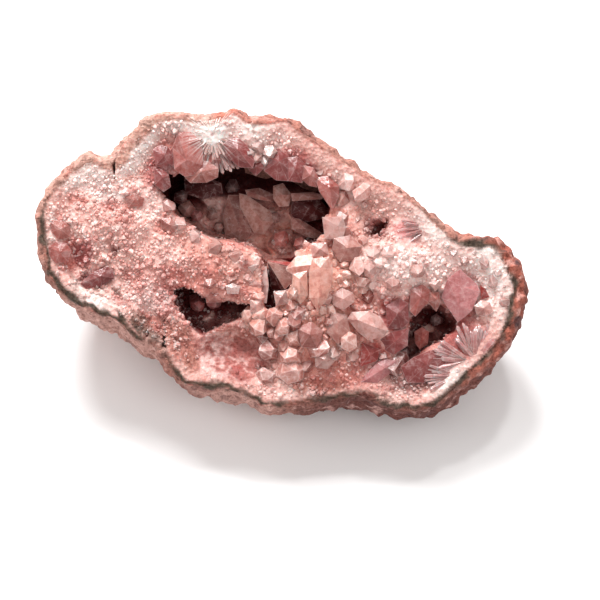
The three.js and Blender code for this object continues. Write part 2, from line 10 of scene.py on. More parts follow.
import bmesh
import bpy
import numpy as np
import openvdb
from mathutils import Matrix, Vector

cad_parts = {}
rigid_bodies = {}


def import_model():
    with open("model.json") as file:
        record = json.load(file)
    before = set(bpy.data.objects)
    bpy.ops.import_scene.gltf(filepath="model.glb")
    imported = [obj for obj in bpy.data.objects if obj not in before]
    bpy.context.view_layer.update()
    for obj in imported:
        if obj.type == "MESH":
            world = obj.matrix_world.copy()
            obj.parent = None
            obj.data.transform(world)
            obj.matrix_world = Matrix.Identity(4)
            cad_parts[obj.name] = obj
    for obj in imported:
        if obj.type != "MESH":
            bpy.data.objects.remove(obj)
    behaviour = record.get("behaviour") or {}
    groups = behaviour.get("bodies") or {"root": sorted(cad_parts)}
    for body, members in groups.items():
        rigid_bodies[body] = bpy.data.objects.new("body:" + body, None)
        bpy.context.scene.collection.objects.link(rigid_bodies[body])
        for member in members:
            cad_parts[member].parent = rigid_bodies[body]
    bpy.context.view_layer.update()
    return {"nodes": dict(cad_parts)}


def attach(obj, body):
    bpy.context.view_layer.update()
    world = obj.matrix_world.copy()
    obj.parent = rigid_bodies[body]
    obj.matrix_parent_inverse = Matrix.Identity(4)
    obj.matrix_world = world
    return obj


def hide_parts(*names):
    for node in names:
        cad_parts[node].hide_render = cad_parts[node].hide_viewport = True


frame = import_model()

bl_info = {
    "name": "Pink amethyst geode",
    "version": (1, 0, 0),
    "blender": (4, 5, 0),
    "location": "View3D > Sidebar > Geode",
    "description": "Builds the rind, the quartz bed and the crystals of a broken geode",
    "category": "Add Mesh",
}

MM = 0.001
BODY = "root"

# How the broken face stands: its tilt from level and the place of its middle

FACE_TILT = math.radians(25)
FACE_MIDDLE = np.array([0.1, -1.1, 26.0])
FACE_AXES = np.array([
    [1, 0, 0],
    [0, math.cos(FACE_TILT), math.sin(FACE_TILT)],
    [0, -math.sin(FACE_TILT), math.cos(FACE_TILT)],
])

# Outline of the rind's widest place, clockwise from the left end

OUTLINE = [
    (-46.1, 6.9), (-45.2, 11.5), (-42.2, 15.2), (-39.6, 18.2), (-36.2, 20.3), (-31.9, 19.3),
    (-30.4, 22.0), (-27.2, 25.4), (-23.4, 28.0), (-18.6, 28.1), (-13.6, 26.9), (-8.9, 28.7),
    (-5.0, 26.7), (1.0, 27.1), (4.4, 24.6), (9.2, 21.0), (14.6, 17.3), (19.8, 14.8),
    (24.8, 11.9), (29.0, 8.2), (33.2, 4.9), (39.6, 4.6), (43.0, 1.4), (45.3, -2.8),
    (45.9, -6.6), (44.4, -12.0), (42.2, -16.2), (38.8, -20.2), (33.6, -24.2), (28.6, -28.2),
    (24.0, -28.8), (18.4, -27.6), (15.2, -26.2), (9.6, -26.8), (4.4, -27.6), (-3.4, -28.4),
    (-6.4, -26.4), (-11.2, -24.8), (-17.8, -24.2), (-20.8, -21.6), (-23.4, -17.4),
    (-27.8, -15.4), (-31.2, -12.2), (-36.6, -10.2), (-41.2, -7.0), (-44.4, -2.6),
]

# The rind's wall at the broken edge, on the left and on the thicker right end, and the places
# between which it grows thicker

RIND_WALL = (2.0, 3.4)
RIGHT_END = (24, 40)

# Broad forms of the crystal bed: (u, v, reach in u, reach in v, height)

SWELLS = [
    (-33.5, 6.5, 10, 8, 1.4),
    (-12.5, -1.0, 9, 4, 0.8),
    (5.0, -8.0, 7, 12, 2.6),
    (20.5, -1.0, 9, 5, 2.2),
    (12.5, -17.5, 9, 5, 1.0),
    (-10.5, -17.0, 8, 5, -3.2),
    (34.0, -9.0, 5, 6, -0.8),
    (-38.5, -1.0, 5, 5, -1.2),
]

# How far the bed lies under the face between them, over which distance it falls from the
# rind, and its grain as (size, height)

BED_DEPTH = 1.4
BED_SLOPE = 5
BED_GRAIN = (3.2, 0.7)

# Hollows: the mouth's outline, levels as (w, scale, shift in v), and the floor as its
# height at the mouth's top and bottom edge

HOLLOWS = {
    "main": (
        [
            (-22.8, 13.0), (-21.7, 15.4), (-18.0, 16.6), (-12.0, 17.4), (-5.4, 18.2),
            (1.5, 17.4), (5.9, 14.6), (9.2, 10.4), (8.2, 8.4), (7.4, 3.7), (4.3, 1.9),
            (1.5, -0.6), (-2.4, -0.8), (-5.9, 1.5), (-11.9, 3.1), (-16.1, 5.2),
            (-19.3, 7.4), (-21.6, 10.4),
        ],
        [(7, 1, -0.4), (-2, 1, 0.2), (-6, 1.06, 1.6), (-11, 1.0, 1.2), (-16, 0.8, 0.4)],
        (-14.8, -8.5),
    ),
    "cleft": (
        [
            (-3.8, 0.8), (1.0, 1.4), (3.8, 0.4), (3.6, -2.6), (2.2, -4.8), (0.6, -6.4),
            (-0.6, -8.2), (-1.6, -10.7), (-3.4, -9.8), (-3.4, -5.6),
        ],
        [(7, 1.1, 0), (-5, 1.0, 0), (-9, 0.6, 0.4)],
        (-8.0, -6.5),
    ),
    "lower": (
        [
            (-20.7, -5.9), (-16.7, -5.6), (-14.3, -7.7), (-10.7, -7.9), (-5.9, -9.2),
            (-5.6, -10.2), (-9.8, -11.9), (-14.8, -14.2), (-17.2, -12.8), (-19.3, -9.6),
        ],
        [(7, 1, -0.4), (-4, 1.05, 0.8), (-8, 0.95, 1.0), (-11, 0.6, 0.8)],
        (-10.0, -6.5),
    ),
    "right": (
        [
            (26.4, -8.9), (29.3, -9.0), (32.6, -12.0), (31.9, -13.8), (29.6, -15.4),
            (26.3, -17.3), (22.8, -19.3), (21.4, -18.3), (22.4, -15.4), (23.7, -11.8),
        ],
        [(7, 1, 0), (-4, 1.02, 0.5), (-7.5, 0.85, 0.4), (-10, 0.5, 0.3)],
        (-9.0, -6.0),
    ),
    "pocket": (
        [(16.0, 4.0), (17.0, 6.7), (19.8, 7.8), (19.5, 5.6), (17.8, 4.2)],
        [(7, 1.1, 0), (-3, 0.8, 0), (-4.5, 0.4, 0)],
        (-4.2, -3.5),
    ),
}

# Narrow cracks through the edge: (outer end, inner end, half width, depth)

CRACKS = [
    ((-31.6, 22.5), (-31.0, 14.8), 0.35, 4),
    ((-26.4, -18.5), (-24.6, -12.6), 0.3, 3),
    ((-21.9, -16.8), (-21.9, -10.8), 0.3, 3),
]


def place(points):
    """Points in face coordinates, in mm, as points of the part's frame, in metres."""
    return (FACE_MIDDLE + np.asarray(points, float) @ FACE_AXES) * MM


def on_face(points):
    """Points of the part's frame, in metres, in face coordinates, in mm."""
    return (np.asarray(points, float) / MM - FACE_MIDDLE) @ FACE_AXES.T


def smooth(low, high, x):
    """0 below low, 1 above high, and a smooth step between."""
    t = np.clip((x - low) / (high - low), 0, 1)
    return t * t * (3 - 2 * t)


def chance(i, j, k):
    """A fixed value from 0 to 1 for each place of a lattice."""
    wave = np.sin(i * 127.1 + j * 311.7 + k * 74.7) * 43758.5453
    return wave - np.floor(wave)


def noise(points, size):
    """Smooth noise from -1 to 1, with lumps of that size."""
    scaled = np.asarray(points, float) / size
    cell = np.floor(scaled)
    share = scaled - cell
    share = share * share * (3 - 2 * share)
    total = 0
    for di in (0, 1):
        for dj in (0, 1):
            for dk in (0, 1):
                corner = [di, dj, dk]
                weight = 1
                for axis in range(3):
                    part = share[..., axis]
                    weight = weight * (part if corner[axis] else 1 - part)
                total = total + weight * chance(*(cell[..., a] + corner[a] for a in range(3)))
    return 2 * total - 1


def spline(points, steps=4):
    """A closed smooth line through the points."""
    knots = np.array(points, float)
    before, after, beyond = (np.roll(knots, shift, 0) for shift in (1, -1, -2))
    rows = []
    for step in range(steps):
        t = step / steps
        rows.append(0.5 * (
            2 * knots + (after - before) * t
            + (2 * before - 5 * knots + 4 * after - beyond) * t ** 2
            + (3 * knots - before - 3 * after + beyond) * t ** 3))
    return np.stack(rows, 1).reshape(-1, 2)


def inside_distance(u, v, polygon):
    """Distance from a closed line, positive inside it."""
    nearest = np.full(np.shape(u), np.inf)
    inside = np.zeros(np.shape(u), bool)
    polygon = np.asarray(polygon, float)
    for (au, av), (bu, bv) in zip(polygon, np.roll(polygon, -1, 0)):
        eu, ev = bu - au, bv - av
        along = np.clip(((u - au) * eu + (v - av) * ev) / (eu * eu + ev * ev), 0, 1)
        nearest = np.minimum(nearest, (u - au - along * eu) ** 2 + (v - av - along * ev) ** 2)
        if ev:
            crosses = (av > v) != (bv > v)
            inside ^= crosses & (u < au + eu * (v - av) / ev)
    return np.sqrt(nearest) * np.where(inside, 1, -1)


def along_line(u, v, start, end, least=0):
    """Where on a line the nearest place is, from least to 1, and how far away it is."""
    eu, ev = end[0] - start[0], end[1] - start[1]
    along = np.clip(((u - start[0]) * eu + (v - start[1]) * ev) / (eu ** 2 + ev ** 2), least, 1)
    return along, np.hypot(u - start[0] - along * eu, v - start[1] - along * ev)


RIM = spline(OUTLINE)


def rim_distance(u, v):
    """How far a place is in from the outline."""
    return inside_distance(u, v, RIM)


def rind_wall(u):
    """The rind's thickness at its broken edge, greater toward the right end."""
    return RIND_WALL[0] + (RIND_WALL[1] - RIND_WALL[0]) * smooth(*RIGHT_END, u)


def bed_height(u, v, inward=None):
    """The crystal bed's height over the face, before the hollows are cut."""
    u, v = np.asarray(u, float), np.asarray(v, float)
    inward = rim_distance(u, v) if inward is None else inward
    inside = smooth(0, BED_SLOPE, inward - rind_wall(u))
    height = -BED_DEPTH
    for cu, cv, ru, rv, rise in SWELLS:
        height = height + rise * np.exp(-((u - cu) / ru) ** 2 - ((v - cv) / rv) ** 2)
    grain = BED_GRAIN[1] * noise(np.stack([u, v, np.full_like(u, 7)], -1), BED_GRAIN[0])
    return (height + grain) * inside


# Colours

def srgb(red, green, blue):
    """A colour from 0 to 255 as the linear values that shaders use."""
    values = [c / 255 for c in (red, green, blue)]
    return tuple(c / 12.92 if c <= 0.04045 else ((c + 0.055) / 1.055) ** 2.4 for c in values)


HUES = {
    "blush": srgb(232, 184, 175),
    "spot": srgb(250, 238, 233),
    "snow": srgb(244, 217, 211),
    "white": srgb(211, 167, 158),
    "frost": srgb(222, 190, 184),
    "apricot": srgb(240, 180, 163),
    "peach": srgb(206, 150, 139),
    "salmon": srgb(192, 122, 112),
    "rose": srgb(218, 146, 146),
    "dusky": srgb(190, 112, 104),
    "mauve": srgb(160, 82, 80),
    "plum": srgb(98, 41, 42),
    "red": srgb(168, 66, 60),
    # The next hue darkens the hollows, partly as their own colour and partly as painted shade; the
    # one after is painted shadow at the back of the main hollow
    "maroon": srgb(84, 28, 27),
    "night": srgb(52, 14, 14),
    "slab": srgb(196, 152, 142),
    "floor": srgb(158, 112, 104),
    "shelf": srgb(146, 88, 82),
    "line": srgb(74, 62, 52),
    "tan": srgb(160, 112, 100),
    "ochre": srgb(187, 147, 134),
    "brick": srgb(158, 86, 70),
    "rust": srgb(202, 96, 72),
    "clay": srgb(156, 100, 88),
    "umber": srgb(96, 54, 48),
    "knob": srgb(78, 52, 54),
}

# The smooth shelf at the lower left: (u, v, reach in u, reach in v, turn in degrees)

SHELF = (-10.5, -18.0, 9.5, 5.4, 0)

# The frayed layers inside the rind at the lower left, given in the same way

FRAY = (-30.4, -8.4, 11.0, 3.0, -34)

# Where the quartz takes another colour: (u, v, reach in u, reach in v, turn in degrees,
# hue, strength)

QUARTZ_ZONES = [
    (5.0, -7.0, 11, 17, 0, "apricot", 0.85),
    (2.0, -14.0, 6, 6, 0, "salmon", 0.5),
    (11.0, 12.0, 12, 6, -38, "peach", 0.55),
    (21.0, -0.5, 8, 5, -12, "blush", 1.0),
    (-38.7, 11.0, 2.4, 1.7, 0, "salmon", 0.8),
    (-27.3, 11.1, 2.0, 1.7, 0, "salmon", 0.9),
    (-31.8, 10.3, 1.6, 1.4, 0, "dusky", 0.7),
    (-41.0, 6.4, 2.4, 2.2, 0, "salmon", 0.75),
    (-40.6, 1.1, 3.2, 3.6, 0, "dusky", 0.9),
    (-36.9, 1.2, 2.0, 2.6, 0, "mauve", 0.9),
    (-34.3, -3.0, 3.3, 1.8, 8, "plum", 0.9),
    (-30.9, 2.0, 0.9, 0.6, 20, "maroon", 0.9),
    (-30.5, 6.0, 3.5, 3.0, 0, "salmon", 0.45),
    (-26.5, -2.6, 3.2, 2.6, 0, "dusky", 0.5),
    (-21.6, 6.7, 2.2, 2.4, 0, "salmon", 0.85),
    (-15.0, 2.6, 5.0, 3.4, -20, "peach", 0.9),
    (-9.0, -1.0, 5.0, 3.4, -30, "peach", 0.9),
    (-17.0, -2.0, 4.0, 3.0, 0, "salmon", 0.6),
    (-20.2, -3.6, 2.2, 2.2, 0, "dusky", 0.7),
    (-14.0, -4.6, 4.0, 2.0, 0, "salmon", 0.7),
    (-7.0, -5.6, 3.6, 2.0, 0, "salmon", 0.7),
    (-23.6, -9.0, 3.6, 4.6, 20, "mauve", 0.6),
    (*SHELF, "shelf", 0.95),
    (-20.8, -13.6, 2.4, 3.0, 20, "slab", 0.8),
    (-17.5, -17.5, 3.0, 4.0, 0, "dusky", 0.5),
    (-8.7, -13.4, 6.6, 1.3, -6, "clay", 0.6),
    (-18.6, -16.8, 2.8, 5.4, 22, "tan", 0.9),
    (-25.0, -12.4, 3.4, 3.4, 0, "clay", 0.6),
    (24.0, 5.4, 3.4, 2.6, 15, "rose", 0.9),
    (33.3, -7.5, 4.2, 5.0, 0, "mauve", 0.7),
    (25.0, -20.6, 5.0, 4.2, 0, "maroon", 0.75),
    (34.0, -15.0, 4.6, 4.6, 0, "mauve", 0.85),
    (16.8, -17.4, 2.8, 2.6, 0, "red", 0.9),
    (21.2, -10.8, 3.0, 3.6, 0, "mauve", 0.9),
    # a painted shade in the gap between the middle crystal groups
    (9.5, -11.5, 1.6, 1.4, 0, "maroon", 0.8),
    (14.0, -8.6, 3.5, 1.6, 0, "salmon", 0.8),
    (21.0, -7.8, 4.0, 1.6, -5, "red", 0.6),
    (8.0, -20.5, 7.0, 4.0, 0, "salmon", 0.7),
    (12.0, -23.5, 6.0, 2.4, 0, "dusky", 0.5),
    (17.4, 6.0, 2.2, 2.2, 0, "plum", 0.8),
    (24.5, -0.8, 7.5, 3.6, 0, "snow", 0.8),
    (39.5, -4.0, 4.5, 8.0, 10, "spot", 0.7),
    (-10.0, 17.8, 9.0, 1.6, 3, "plum", 0.95),
    (2.4, 17.0, 5.0, 2.0, -20, "plum", 0.95),
    (-22.0, 15.0, 2.0, 2.6, 0, "mauve", 0.9),
    (-17.0, 18.6, 3.2, 3.6, 0, "dusky", 0.9),
    (-19.5, 19.6, 4.5, 3.2, 0, "dusky", 0.8),
    (-22.5, 15.6, 3.0, 3.4, 0, "mauve", 0.8),
    (-9.5, 18.8, 4.0, 3.2, 0, "dusky", 0.8),
    (2.0, 18.4, 4.0, 3.0, 0, "mauve", 0.8),
    (9.5, 12.5, 2.4, 4.0, 20, "salmon", 0.9),
    (7.5, -24.4, 4.5, 2.4, 0, "clay", 0.9),
    (-33.0, 13.6, 4.6, 2.4, -10, "snow", 0.8),
]

# Where painted shade darkens the bed between the middle crystals: (u, v, reach)

GAP_SHADE_PLACE = (6, -8, 15)

# Where the pale band inside the rind is wide: (u, v, reach, added width)

BAND_ZONES = [
    (-35.5, -7.5, 6.0, 2.4),
    (-26.0, 19.0, 7.0, 2.2),
    (-6.0, 24.0, 9.0, 2.4),
    (12.0, 17.0, 9.0, 2.6),
    (26.0, 6.0, 9.0, 4.2),
    (39.5, -4.0, 9.0, 4.2),
    (37.5, -17.5, 5.0, 1.4),
    (28.0, -24.5, 6.0, 1.6),
    (-15.5, -21.0, 5.0, 1.2),
    (-36.5, 15.0, 6.0, 1.8),
]

# Where that band is nearly white: (u, v, reach)

BRIGHT_ZONES = [
    (-25.5, 21.0, 5.0),
    (-18.5, 24.6, 4.0),
    (-29.0, 16.5, 2.5),
    (-6.0, 24.0, 4.0),
    (-36.0, 15.5, 4.5),
    (-34.0, -6.5, 4.5),
    (29.0, 6.5, 5.0),
    (38.5, -2.0, 7.0),
    (31.5, -22.0, 4.5),
]

# Where the dark line between rind and quartz is strong: (u, v, reach, strength)

LINE_ZONES = [
    (-44.0, 3.0, 8.0, 1.0),
    (-40.0, -6.5, 7.0, 1.5),
    (-31.0, -11.5, 6.0, 1.6),
    (-14.0, -23.0, 8.0, 1.2),
    (-3.0, -26.5, 4.0, 1.1),
    (24.0, -27.0, 9.0, 0.9),
    (35.0, -20.0, 7.0, 0.9),
    (42.5, -8.0, 8.0, 1.0),
    (36.0, 3.0, 5.0, 0.9),
    (10.0, -26.0, 6.0, 0.7),
    (28.0, 8.5, 3.0, 0.4),
]
LINE_FAINT = 0.12

# Where that line lies further in from the outline, or nearer to it: (u, v, reach, added
# distance)

LINE_SHIFTS = [
    (-28.0, 22.0, 10.0, 1.4),
    (44.0, -6.0, 10.0, 1.3),
    (36.0, -20.0, 6.0, 0.7),
    (18.0, 15.5, 12.0, -0.5),
]

# Where the rind takes another colour: (u, v, reach, hue, strength)

STONE_ZONES = [
    (-26.0, 25.0, 12.0, "ochre", 0.9),
    (-40.0, 17.0, 7.0, "ochre", 0.7),
    (-10.4, 27.6, 2.0, "rust", 0.5),
    (0.0, 25.5, 6.0, "brick", 0.25),
    (43.0, -6.0, 13.0, "brick", 1.0),
    (38.0, -22.0, 9.0, "brick", 0.7),
    # The two umber places on the bottom edge, this one and the one three lines down, are painted
    # shade on the rind's lower side
    (22.0, -28.0, 9.0, "umber", 0.7),
    (-22.0, -17.0, 6.0, "clay", 0.6),
    (-32.0, -13.5, 9.0, "slab", 0.7),
    (10.0, -28.0, 7.0, "umber", 0.6),
    (-10.0, -26.5, 8.0, "slab", 0.8),
]

# The white spot over the main hollow that fine needles spread from: its place, its reach and
# how close together the needles are

SPOT = (-12.9, 23.3)
SPOT_REACH = 2.6
NEEDLES = 12.0


def size_of(name):
    """One of the sizes that the panel shows, in mm."""
    return getattr(bpy.context.scene.geode_sizes, name) / MM


def hue_of(name):
    """One of the hues, as the panel's colour where it shows one."""
    return np.array(getattr(bpy.context.scene.geode_colours, name, HUES[name]))


def bell(u, v, cu, cv, reach):
    """1 at a place, fading round it over its reach."""
    return np.exp(-((u - cu) ** 2 + (v - cv) ** 2) / reach ** 2)


def blend(base, hue, mask):
    """A colour for each point, part of the way to a hue."""
    return base + (hue_of(hue) - base) * mask[:, None]


def zone_mask(u, v, waver, cu, cv, ru, rv, turn):
    """1 in the middle of a turned ellipse, 0 outside it, with an uneven edge."""
    angle = math.radians(turn)
    along = (u - cu) * math.cos(angle) + (v - cv) * math.sin(angle)
    across = (v - cv) * math.cos(angle) - (u - cu) * math.sin(angle)
    return smooth(1.35, 0.65, np.hypot(along / ru, across / rv) + 0.3 * waver)


def pale_band(u, v, inward):
    """1 in the pale quartz just inside the rind, 0 away from it."""
    width = size_of("band_width") + sum(more * bell(u, v, *zone) for *zone, more in BAND_ZONES)
    return smooth(width + 0.5, width * 0.45, inward)


def quartz_tints(points, fine, grain, broad):
    """The quartz's colour: its zones, its snowy, salmon and mauve patches, painted shade between
    the middle crystals, and the shelf.
    """
    u, v, _ = points.T
    colour = np.tile(hue_of("blush"), (len(points), 1))
    for *form, hue, strength in QUARTZ_ZONES:
        colour = blend(colour, hue, strength * zone_mask(u, v, grain, *form))
    colour = blend(colour, "snow", 0.5 * smooth(0.15, 0.9, broad + 0.7 * fine))
    colour = blend(colour, "salmon", 0.4 * smooth(0.25, 0.9, -broad + 0.5 * grain))
    patches = 0.8 * noise(points + 47, 1.5) - 0.5 * grain
    colour = blend(colour, "mauve", 0.5 * smooth(0.3, 1.0, patches))
    # Painted shade: the bed between the middle crystals turns mauve in uneven patches
    deep = smooth(0.1, 0.8, noise(points + 53, 1.7) - 0.3 * fine) * bell(u, v, *GAP_SHADE_PLACE)
    colour = blend(colour, "mauve", 0.6 * deep)
    veins = smooth(0.16, 0.03, np.abs(noise(points + 59, 3.0) + 0.25 * fine))
    veins = np.maximum(veins, smooth(0.5, 0.9, noise(points + 61, 1.8)))
    return blend(colour, "frost", 0.45 * zone_mask(u, v, grain, *SHELF) * veins)


def hollow_tints(colour, u, v, w, grain):
    """The same colours, darker inside the hollows, partly their own colour and partly painted
    shade, and darkest at the back of the main one, in painted shadow.
    """
    # Deeper in every hollow the quartz turns dusky and maroon: partly its own colour, partly
    # painted shade
    carved = smooth(-0.8, 0.6, carved_depth(u, v, w))
    colour = blend(colour, "dusky", carved * smooth(-0.5, -2.5, w))
    main = smooth(-0.4, 0.4, hollow_depth("main", u, v, w) + 0.6)
    # Painted shadow at the back of the main hollow, under the overhanging fringe: maroon, and near
    # black further back
    back = main * smooth(11.0, 14.5, v - 0.15 * u + grain)
    overhang_shadow = main * smooth(13.0, 16.0, v - 0.1 * u + grain)
    colour = blend(colour, "floor", main * smooth(-4, -7, w))
    colour = blend(colour, "maroon", back * smooth(-2, -5, w))
    colour = blend(colour, "night", overhang_shadow * smooth(-3, -6, w))
    colour = blend(colour, "maroon", main * smooth(2.5, 5.5, u) * smooth(-2.5, -5, w))
    for name in ("lower", "right", "cleft", "pocket"):
        deep = smooth(-0.4, 0.6, hollow_depth(name, u, v, w) + 0.5)
        colour = blend(colour, "maroon", deep * smooth(-1.8, -4.5, w))
    return colour


def dark_line(points, across, fine, grain, layers):
    """How strong the dark line is: uneven and broken, and thicker in the frayed layers."""
    u, v, _ = points.T
    line = LINE_FAINT + np.max([s * bell(u, v, *zone) for *zone, s in LINE_ZONES], axis=0)
    thick = (0.25 + 0.38 * line + 0.1 * smooth(34, 42, u)) * (1 + 0.8 * grain + 0.7 * fine)
    thick = thick + layers
    dark = smooth(thick + 0.2, thick * 0.3, np.abs(across + 0.15 + 0.55 * noise(points + 67, 1.5)))
    return dark * np.minimum(line * 1.2, 1) * smooth(-0.9, -0.35, noise(points + 83, 3.4))


def tints(points, rind=False):
    """The colour of quartz at points in face coordinates, or of stone outside the dark line.

    On the rind, all that lies below its broken edge is stone too.
    """
    u, v, w = points.T
    fine, grain, broad = (noise(points + 31, size) for size in (0.9, 2.2, 6))
    edge = size_of("line_place") + sum(more * bell(u, v, *zone) for *zone, more in LINE_SHIFTS)
    across = rim_distance(u, v) - edge + 0.28 * grain + 0.14 * fine
    fray = zone_mask(u, v, grain, *FRAY)
    strands = noise(np.column_stack([1.2 * u + 0.9 * v, 0.3 * (v - u), w]), 1.5)
    near_top = smooth(-4, -2.5, w)
    colour = hollow_tints(quartz_tints(points, fine, grain, broad), u, v, w, grain)
    band = pale_band(u, v, across + 0.5 * grain) * near_top
    colour = blend(colour, "white", 0.85 * band)
    bright = np.max([bell(u, v, *zone) for zone in BRIGHT_ZONES], axis=0)
    colour = blend(colour, "spot", 0.75 * bright * band)
    colour = blend(colour, "line", 0.6 * fray * smooth(0.0, 0.6, strands + 0.4 * grain))
    spot = np.hypot(u - SPOT[0], v - SPOT[1])
    spread = smooth(SPOT_REACH * 1.5, SPOT_REACH * 0.6, spot + 0.5 * fine)
    colour = blend(colour, "spot", spread * near_top)
    colour = blend(colour, "mauve", 0.7 * smooth(0.42, 0.2, spot))
    dark = dark_line(points, across, fine, grain, 1.8 * fray * smooth(-0.3, 0.5, strands))
    outer = smooth(0.2, -0.2, across)
    if rind:
        outer = np.maximum(outer, smooth(-1.0, -2.0, w + 0.3 * grain))
        dark = dark * (1 - smooth(-1.2, -2.2, w))
    outer = outer[:, None]
    colour = colour * (1 - outer) + stone_tints(u, v, w, fine, grain, broad) * outer
    return blend(colour, "line", dark * smooth(-3.2, -2.0, w))


def stone_tints(u, v, w, fine, grain, broad):
    """The rind's colour: tan stone with ochre, brick and rust places, paler in its pits, and
    painted shade on its lower side.
    """
    colour = np.tile(hue_of("tan"), (len(u), 1))
    for cu, cv, reach, hue, strength in STONE_ZONES:
        near = smooth(1.5, 0.7, np.hypot(u - cu, v - cv) / reach + 0.3 * grain)
        colour = blend(colour, hue, strength * near)
    colour = blend(colour, "clay", 0.6 * smooth(0.0, 0.9, broad + 0.5 * grain))
    # Painted shade on the rind's lower side, below the broken edge and stronger toward the right:
    # blended to umber
    low = smooth(0.5, -2.5, w + 0.6 * grain) * smooth(6, -8, v) * (0.15 + 1.0 * smooth(-4, 14, u))
    colour = blend(colour, "umber", 0.75 * low)
    colour = blend(colour, "blush", 0.5 * smooth(0.2, 0.8, fine - 0.3 * grain))
    pits = smooth(0.35, 0.9, noise(np.stack([u, v, w], -1) + 91, 1.4))
    colour = blend(colour, "umber", 0.45 * pits)
    knobs = smooth(0.3, 0.8, grain + 0.3 * fine) * (0.45 + 0.5 * smooth(34, 42, u))
    colour = blend(colour, "knob", knobs)
    return colour


# The quartz bed: the voxels of its field, the box of the field, and for how many voxels the
# distance from the solid is known

VOXEL = 0.4
BED_SPAN = ((-46.8, 46.8), (-29.6, 29.6), (-19.0, 5.0))
CAD_BAND = 5

# How much of the height over the bed is distance on its slopes, how round the mouths of the
# hollows are, the grain of their walls as (size, height, place in the noise), half the width
# of a crack at its inner end, how far the bed may pass the solid, and, above a level near the
# face, how far it reaches into the rind

SLOPE_SHARE = 0.85
MOUTH_ROUND = 0.8
WALL_GRAIN = [(3.1, 0.55, 0), (1.5, 0.3, 17)]
CRACK_END = 0.15
SOLID_SLACK = 1.0
EDGE_LEVEL = -1.2
EDGE_OVERLAP = 1.0

# The grid that holds a hollow's plan: its step, and how far it reaches past the mouth

PLAN_STEP = 0.25
PLAN_MARGIN = 6


def level_grid(name):
    """A hollow's plan as distances on a grid that reaches well past its mouth."""
    mouth = np.array(HOLLOWS[name][0])
    low, high = mouth.min(0) - PLAN_MARGIN, mouth.max(0) + PLAN_MARGIN
    us, vs = (np.arange(a, b, PLAN_STEP) for a, b in zip(low, high))
    return low, inside_distance(*np.meshgrid(us, vs, indexing="ij"), mouth), mouth.mean(0)


PLANS = {name: level_grid(name) for name in HOLLOWS}


def hollow_depth(name, u, v, w):
    """How far a point is inside a hollow, or less than 0 outside it."""
    low, plan, middle = PLANS[name]
    mouth, levels, (floor_top, floor_bottom) = HOLLOWS[name]
    heights, scales, shifts = zip(*reversed(levels))
    scale, shift = np.interp(w, heights, scales), np.interp(w, heights, shifts)
    pu = (middle[0] + (u - middle[0]) / scale - low[0]) / PLAN_STEP
    pv = (middle[1] + (v - shift - middle[1]) / scale - low[1]) / PLAN_STEP
    pu = np.clip(pu, 0, plan.shape[0] - 1.001)
    pv = np.clip(pv, 0, plan.shape[1] - 1.001)
    i, j = pu.astype(int), pv.astype(int)
    a, b = pu - i, pv - j
    across = (plan[i, j] * (1 - a) * (1 - b) + plan[i + 1, j] * a * (1 - b)
              + plan[i, j + 1] * (1 - a) * b + plan[i + 1, j + 1] * a * b) * scale
    bottom, top = min(p[1] for p in mouth), max(p[1] for p in mouth)
    rise = np.clip((v - bottom) / (top - bottom), 0, 1)
    floor = floor_bottom + (floor_top - floor_bottom) * rise
    return np.minimum(across, w - floor)


def carved_depth(u, v, w):
    """How far a point is inside any of the hollows, or less than 0 outside them all."""
    return np.max([hollow_depth(name, u, v, w) for name in HOLLOWS], axis=0)


def roughness(points, rows):
    """A sum of noises, each given as (size, height, place in the noise)."""
    return sum(height * noise(points + shift, size) for size, height, shift in rows)


def merged_copy(node):
    """The points, in face coordinates, and triangles of a CAD node, with doubles merged."""
    mesh = bmesh.new()
    mesh.from_mesh(frame["nodes"][node].data)
    bmesh.ops.remove_doubles(mesh, verts=mesh.verts, dist=1e-6)
    mesh.verts.index_update()
    points = on_face([vert.co for vert in mesh.verts])
    triangles = np.array([[vert.index for vert in face.verts] for face in mesh.faces], np.uint32)
    mesh.free()
    return points, triangles


def bed_field():
    """Distances from the bed's surface, less than 0 in the quartz, on a grid of voxels."""
    low = np.array([round(span[0] / VOXEL) for span in BED_SPAN])
    size = [round((span[1] - span[0]) / VOXEL) for span in BED_SPAN]
    u, v, w = ((low[a] + np.arange(size[a])) * VOXEL for a in range(3))
    flat_u, flat_v = np.meshgrid(u, v, indexing="ij")
    inward = rim_distance(flat_u, flat_v)
    height = bed_height(flat_u, flat_v, inward)
    field = (w[None, None] - height[..., None]) * SLOPE_SHARE
    grid = np.stack(np.meshgrid(u, v, w, indexing="ij"), -1)
    carved = carved_depth(*np.moveaxis(grid, -1, 0))
    hollow = carved + roughness(grid, WALL_GRAIN)
    near = np.maximum(MOUTH_ROUND - np.abs(field - hollow), 0)
    mixed = np.maximum(field, hollow) + near ** 2 / (4 * MOUTH_ROUND)
    for outer, inner, half, depth in CRACKS:
        along, off = along_line(flat_u, flat_v, outer, inner)
        slit = (half * (1 - along) + CRACK_END) - off
        mixed = np.maximum(mixed, np.minimum(slit[..., None], w[None, None] + depth))
    points, triangles = merged_copy("crystal_crust")
    cad = openvdb.FloatGrid.createLevelSetFromPolygons(
        points.astype(np.float32), triangles=triangles,
        transform=openvdb.createLinearTransform(voxelSize=VOXEL), halfWidth=CAD_BAND)
    solid = np.zeros(field.shape, np.float32)
    cad.copyToArray(solid, ijk=tuple(int(c) for c in low))
    keep = np.minimum(solid - SOLID_SLACK, -carved)
    edge = rind_wall(flat_u) - inward - EDGE_OVERLAP
    keep = np.where(w[None, None] > EDGE_LEVEL, edge[..., None], keep)
    return np.maximum(mixed, keep).astype(np.float32), low


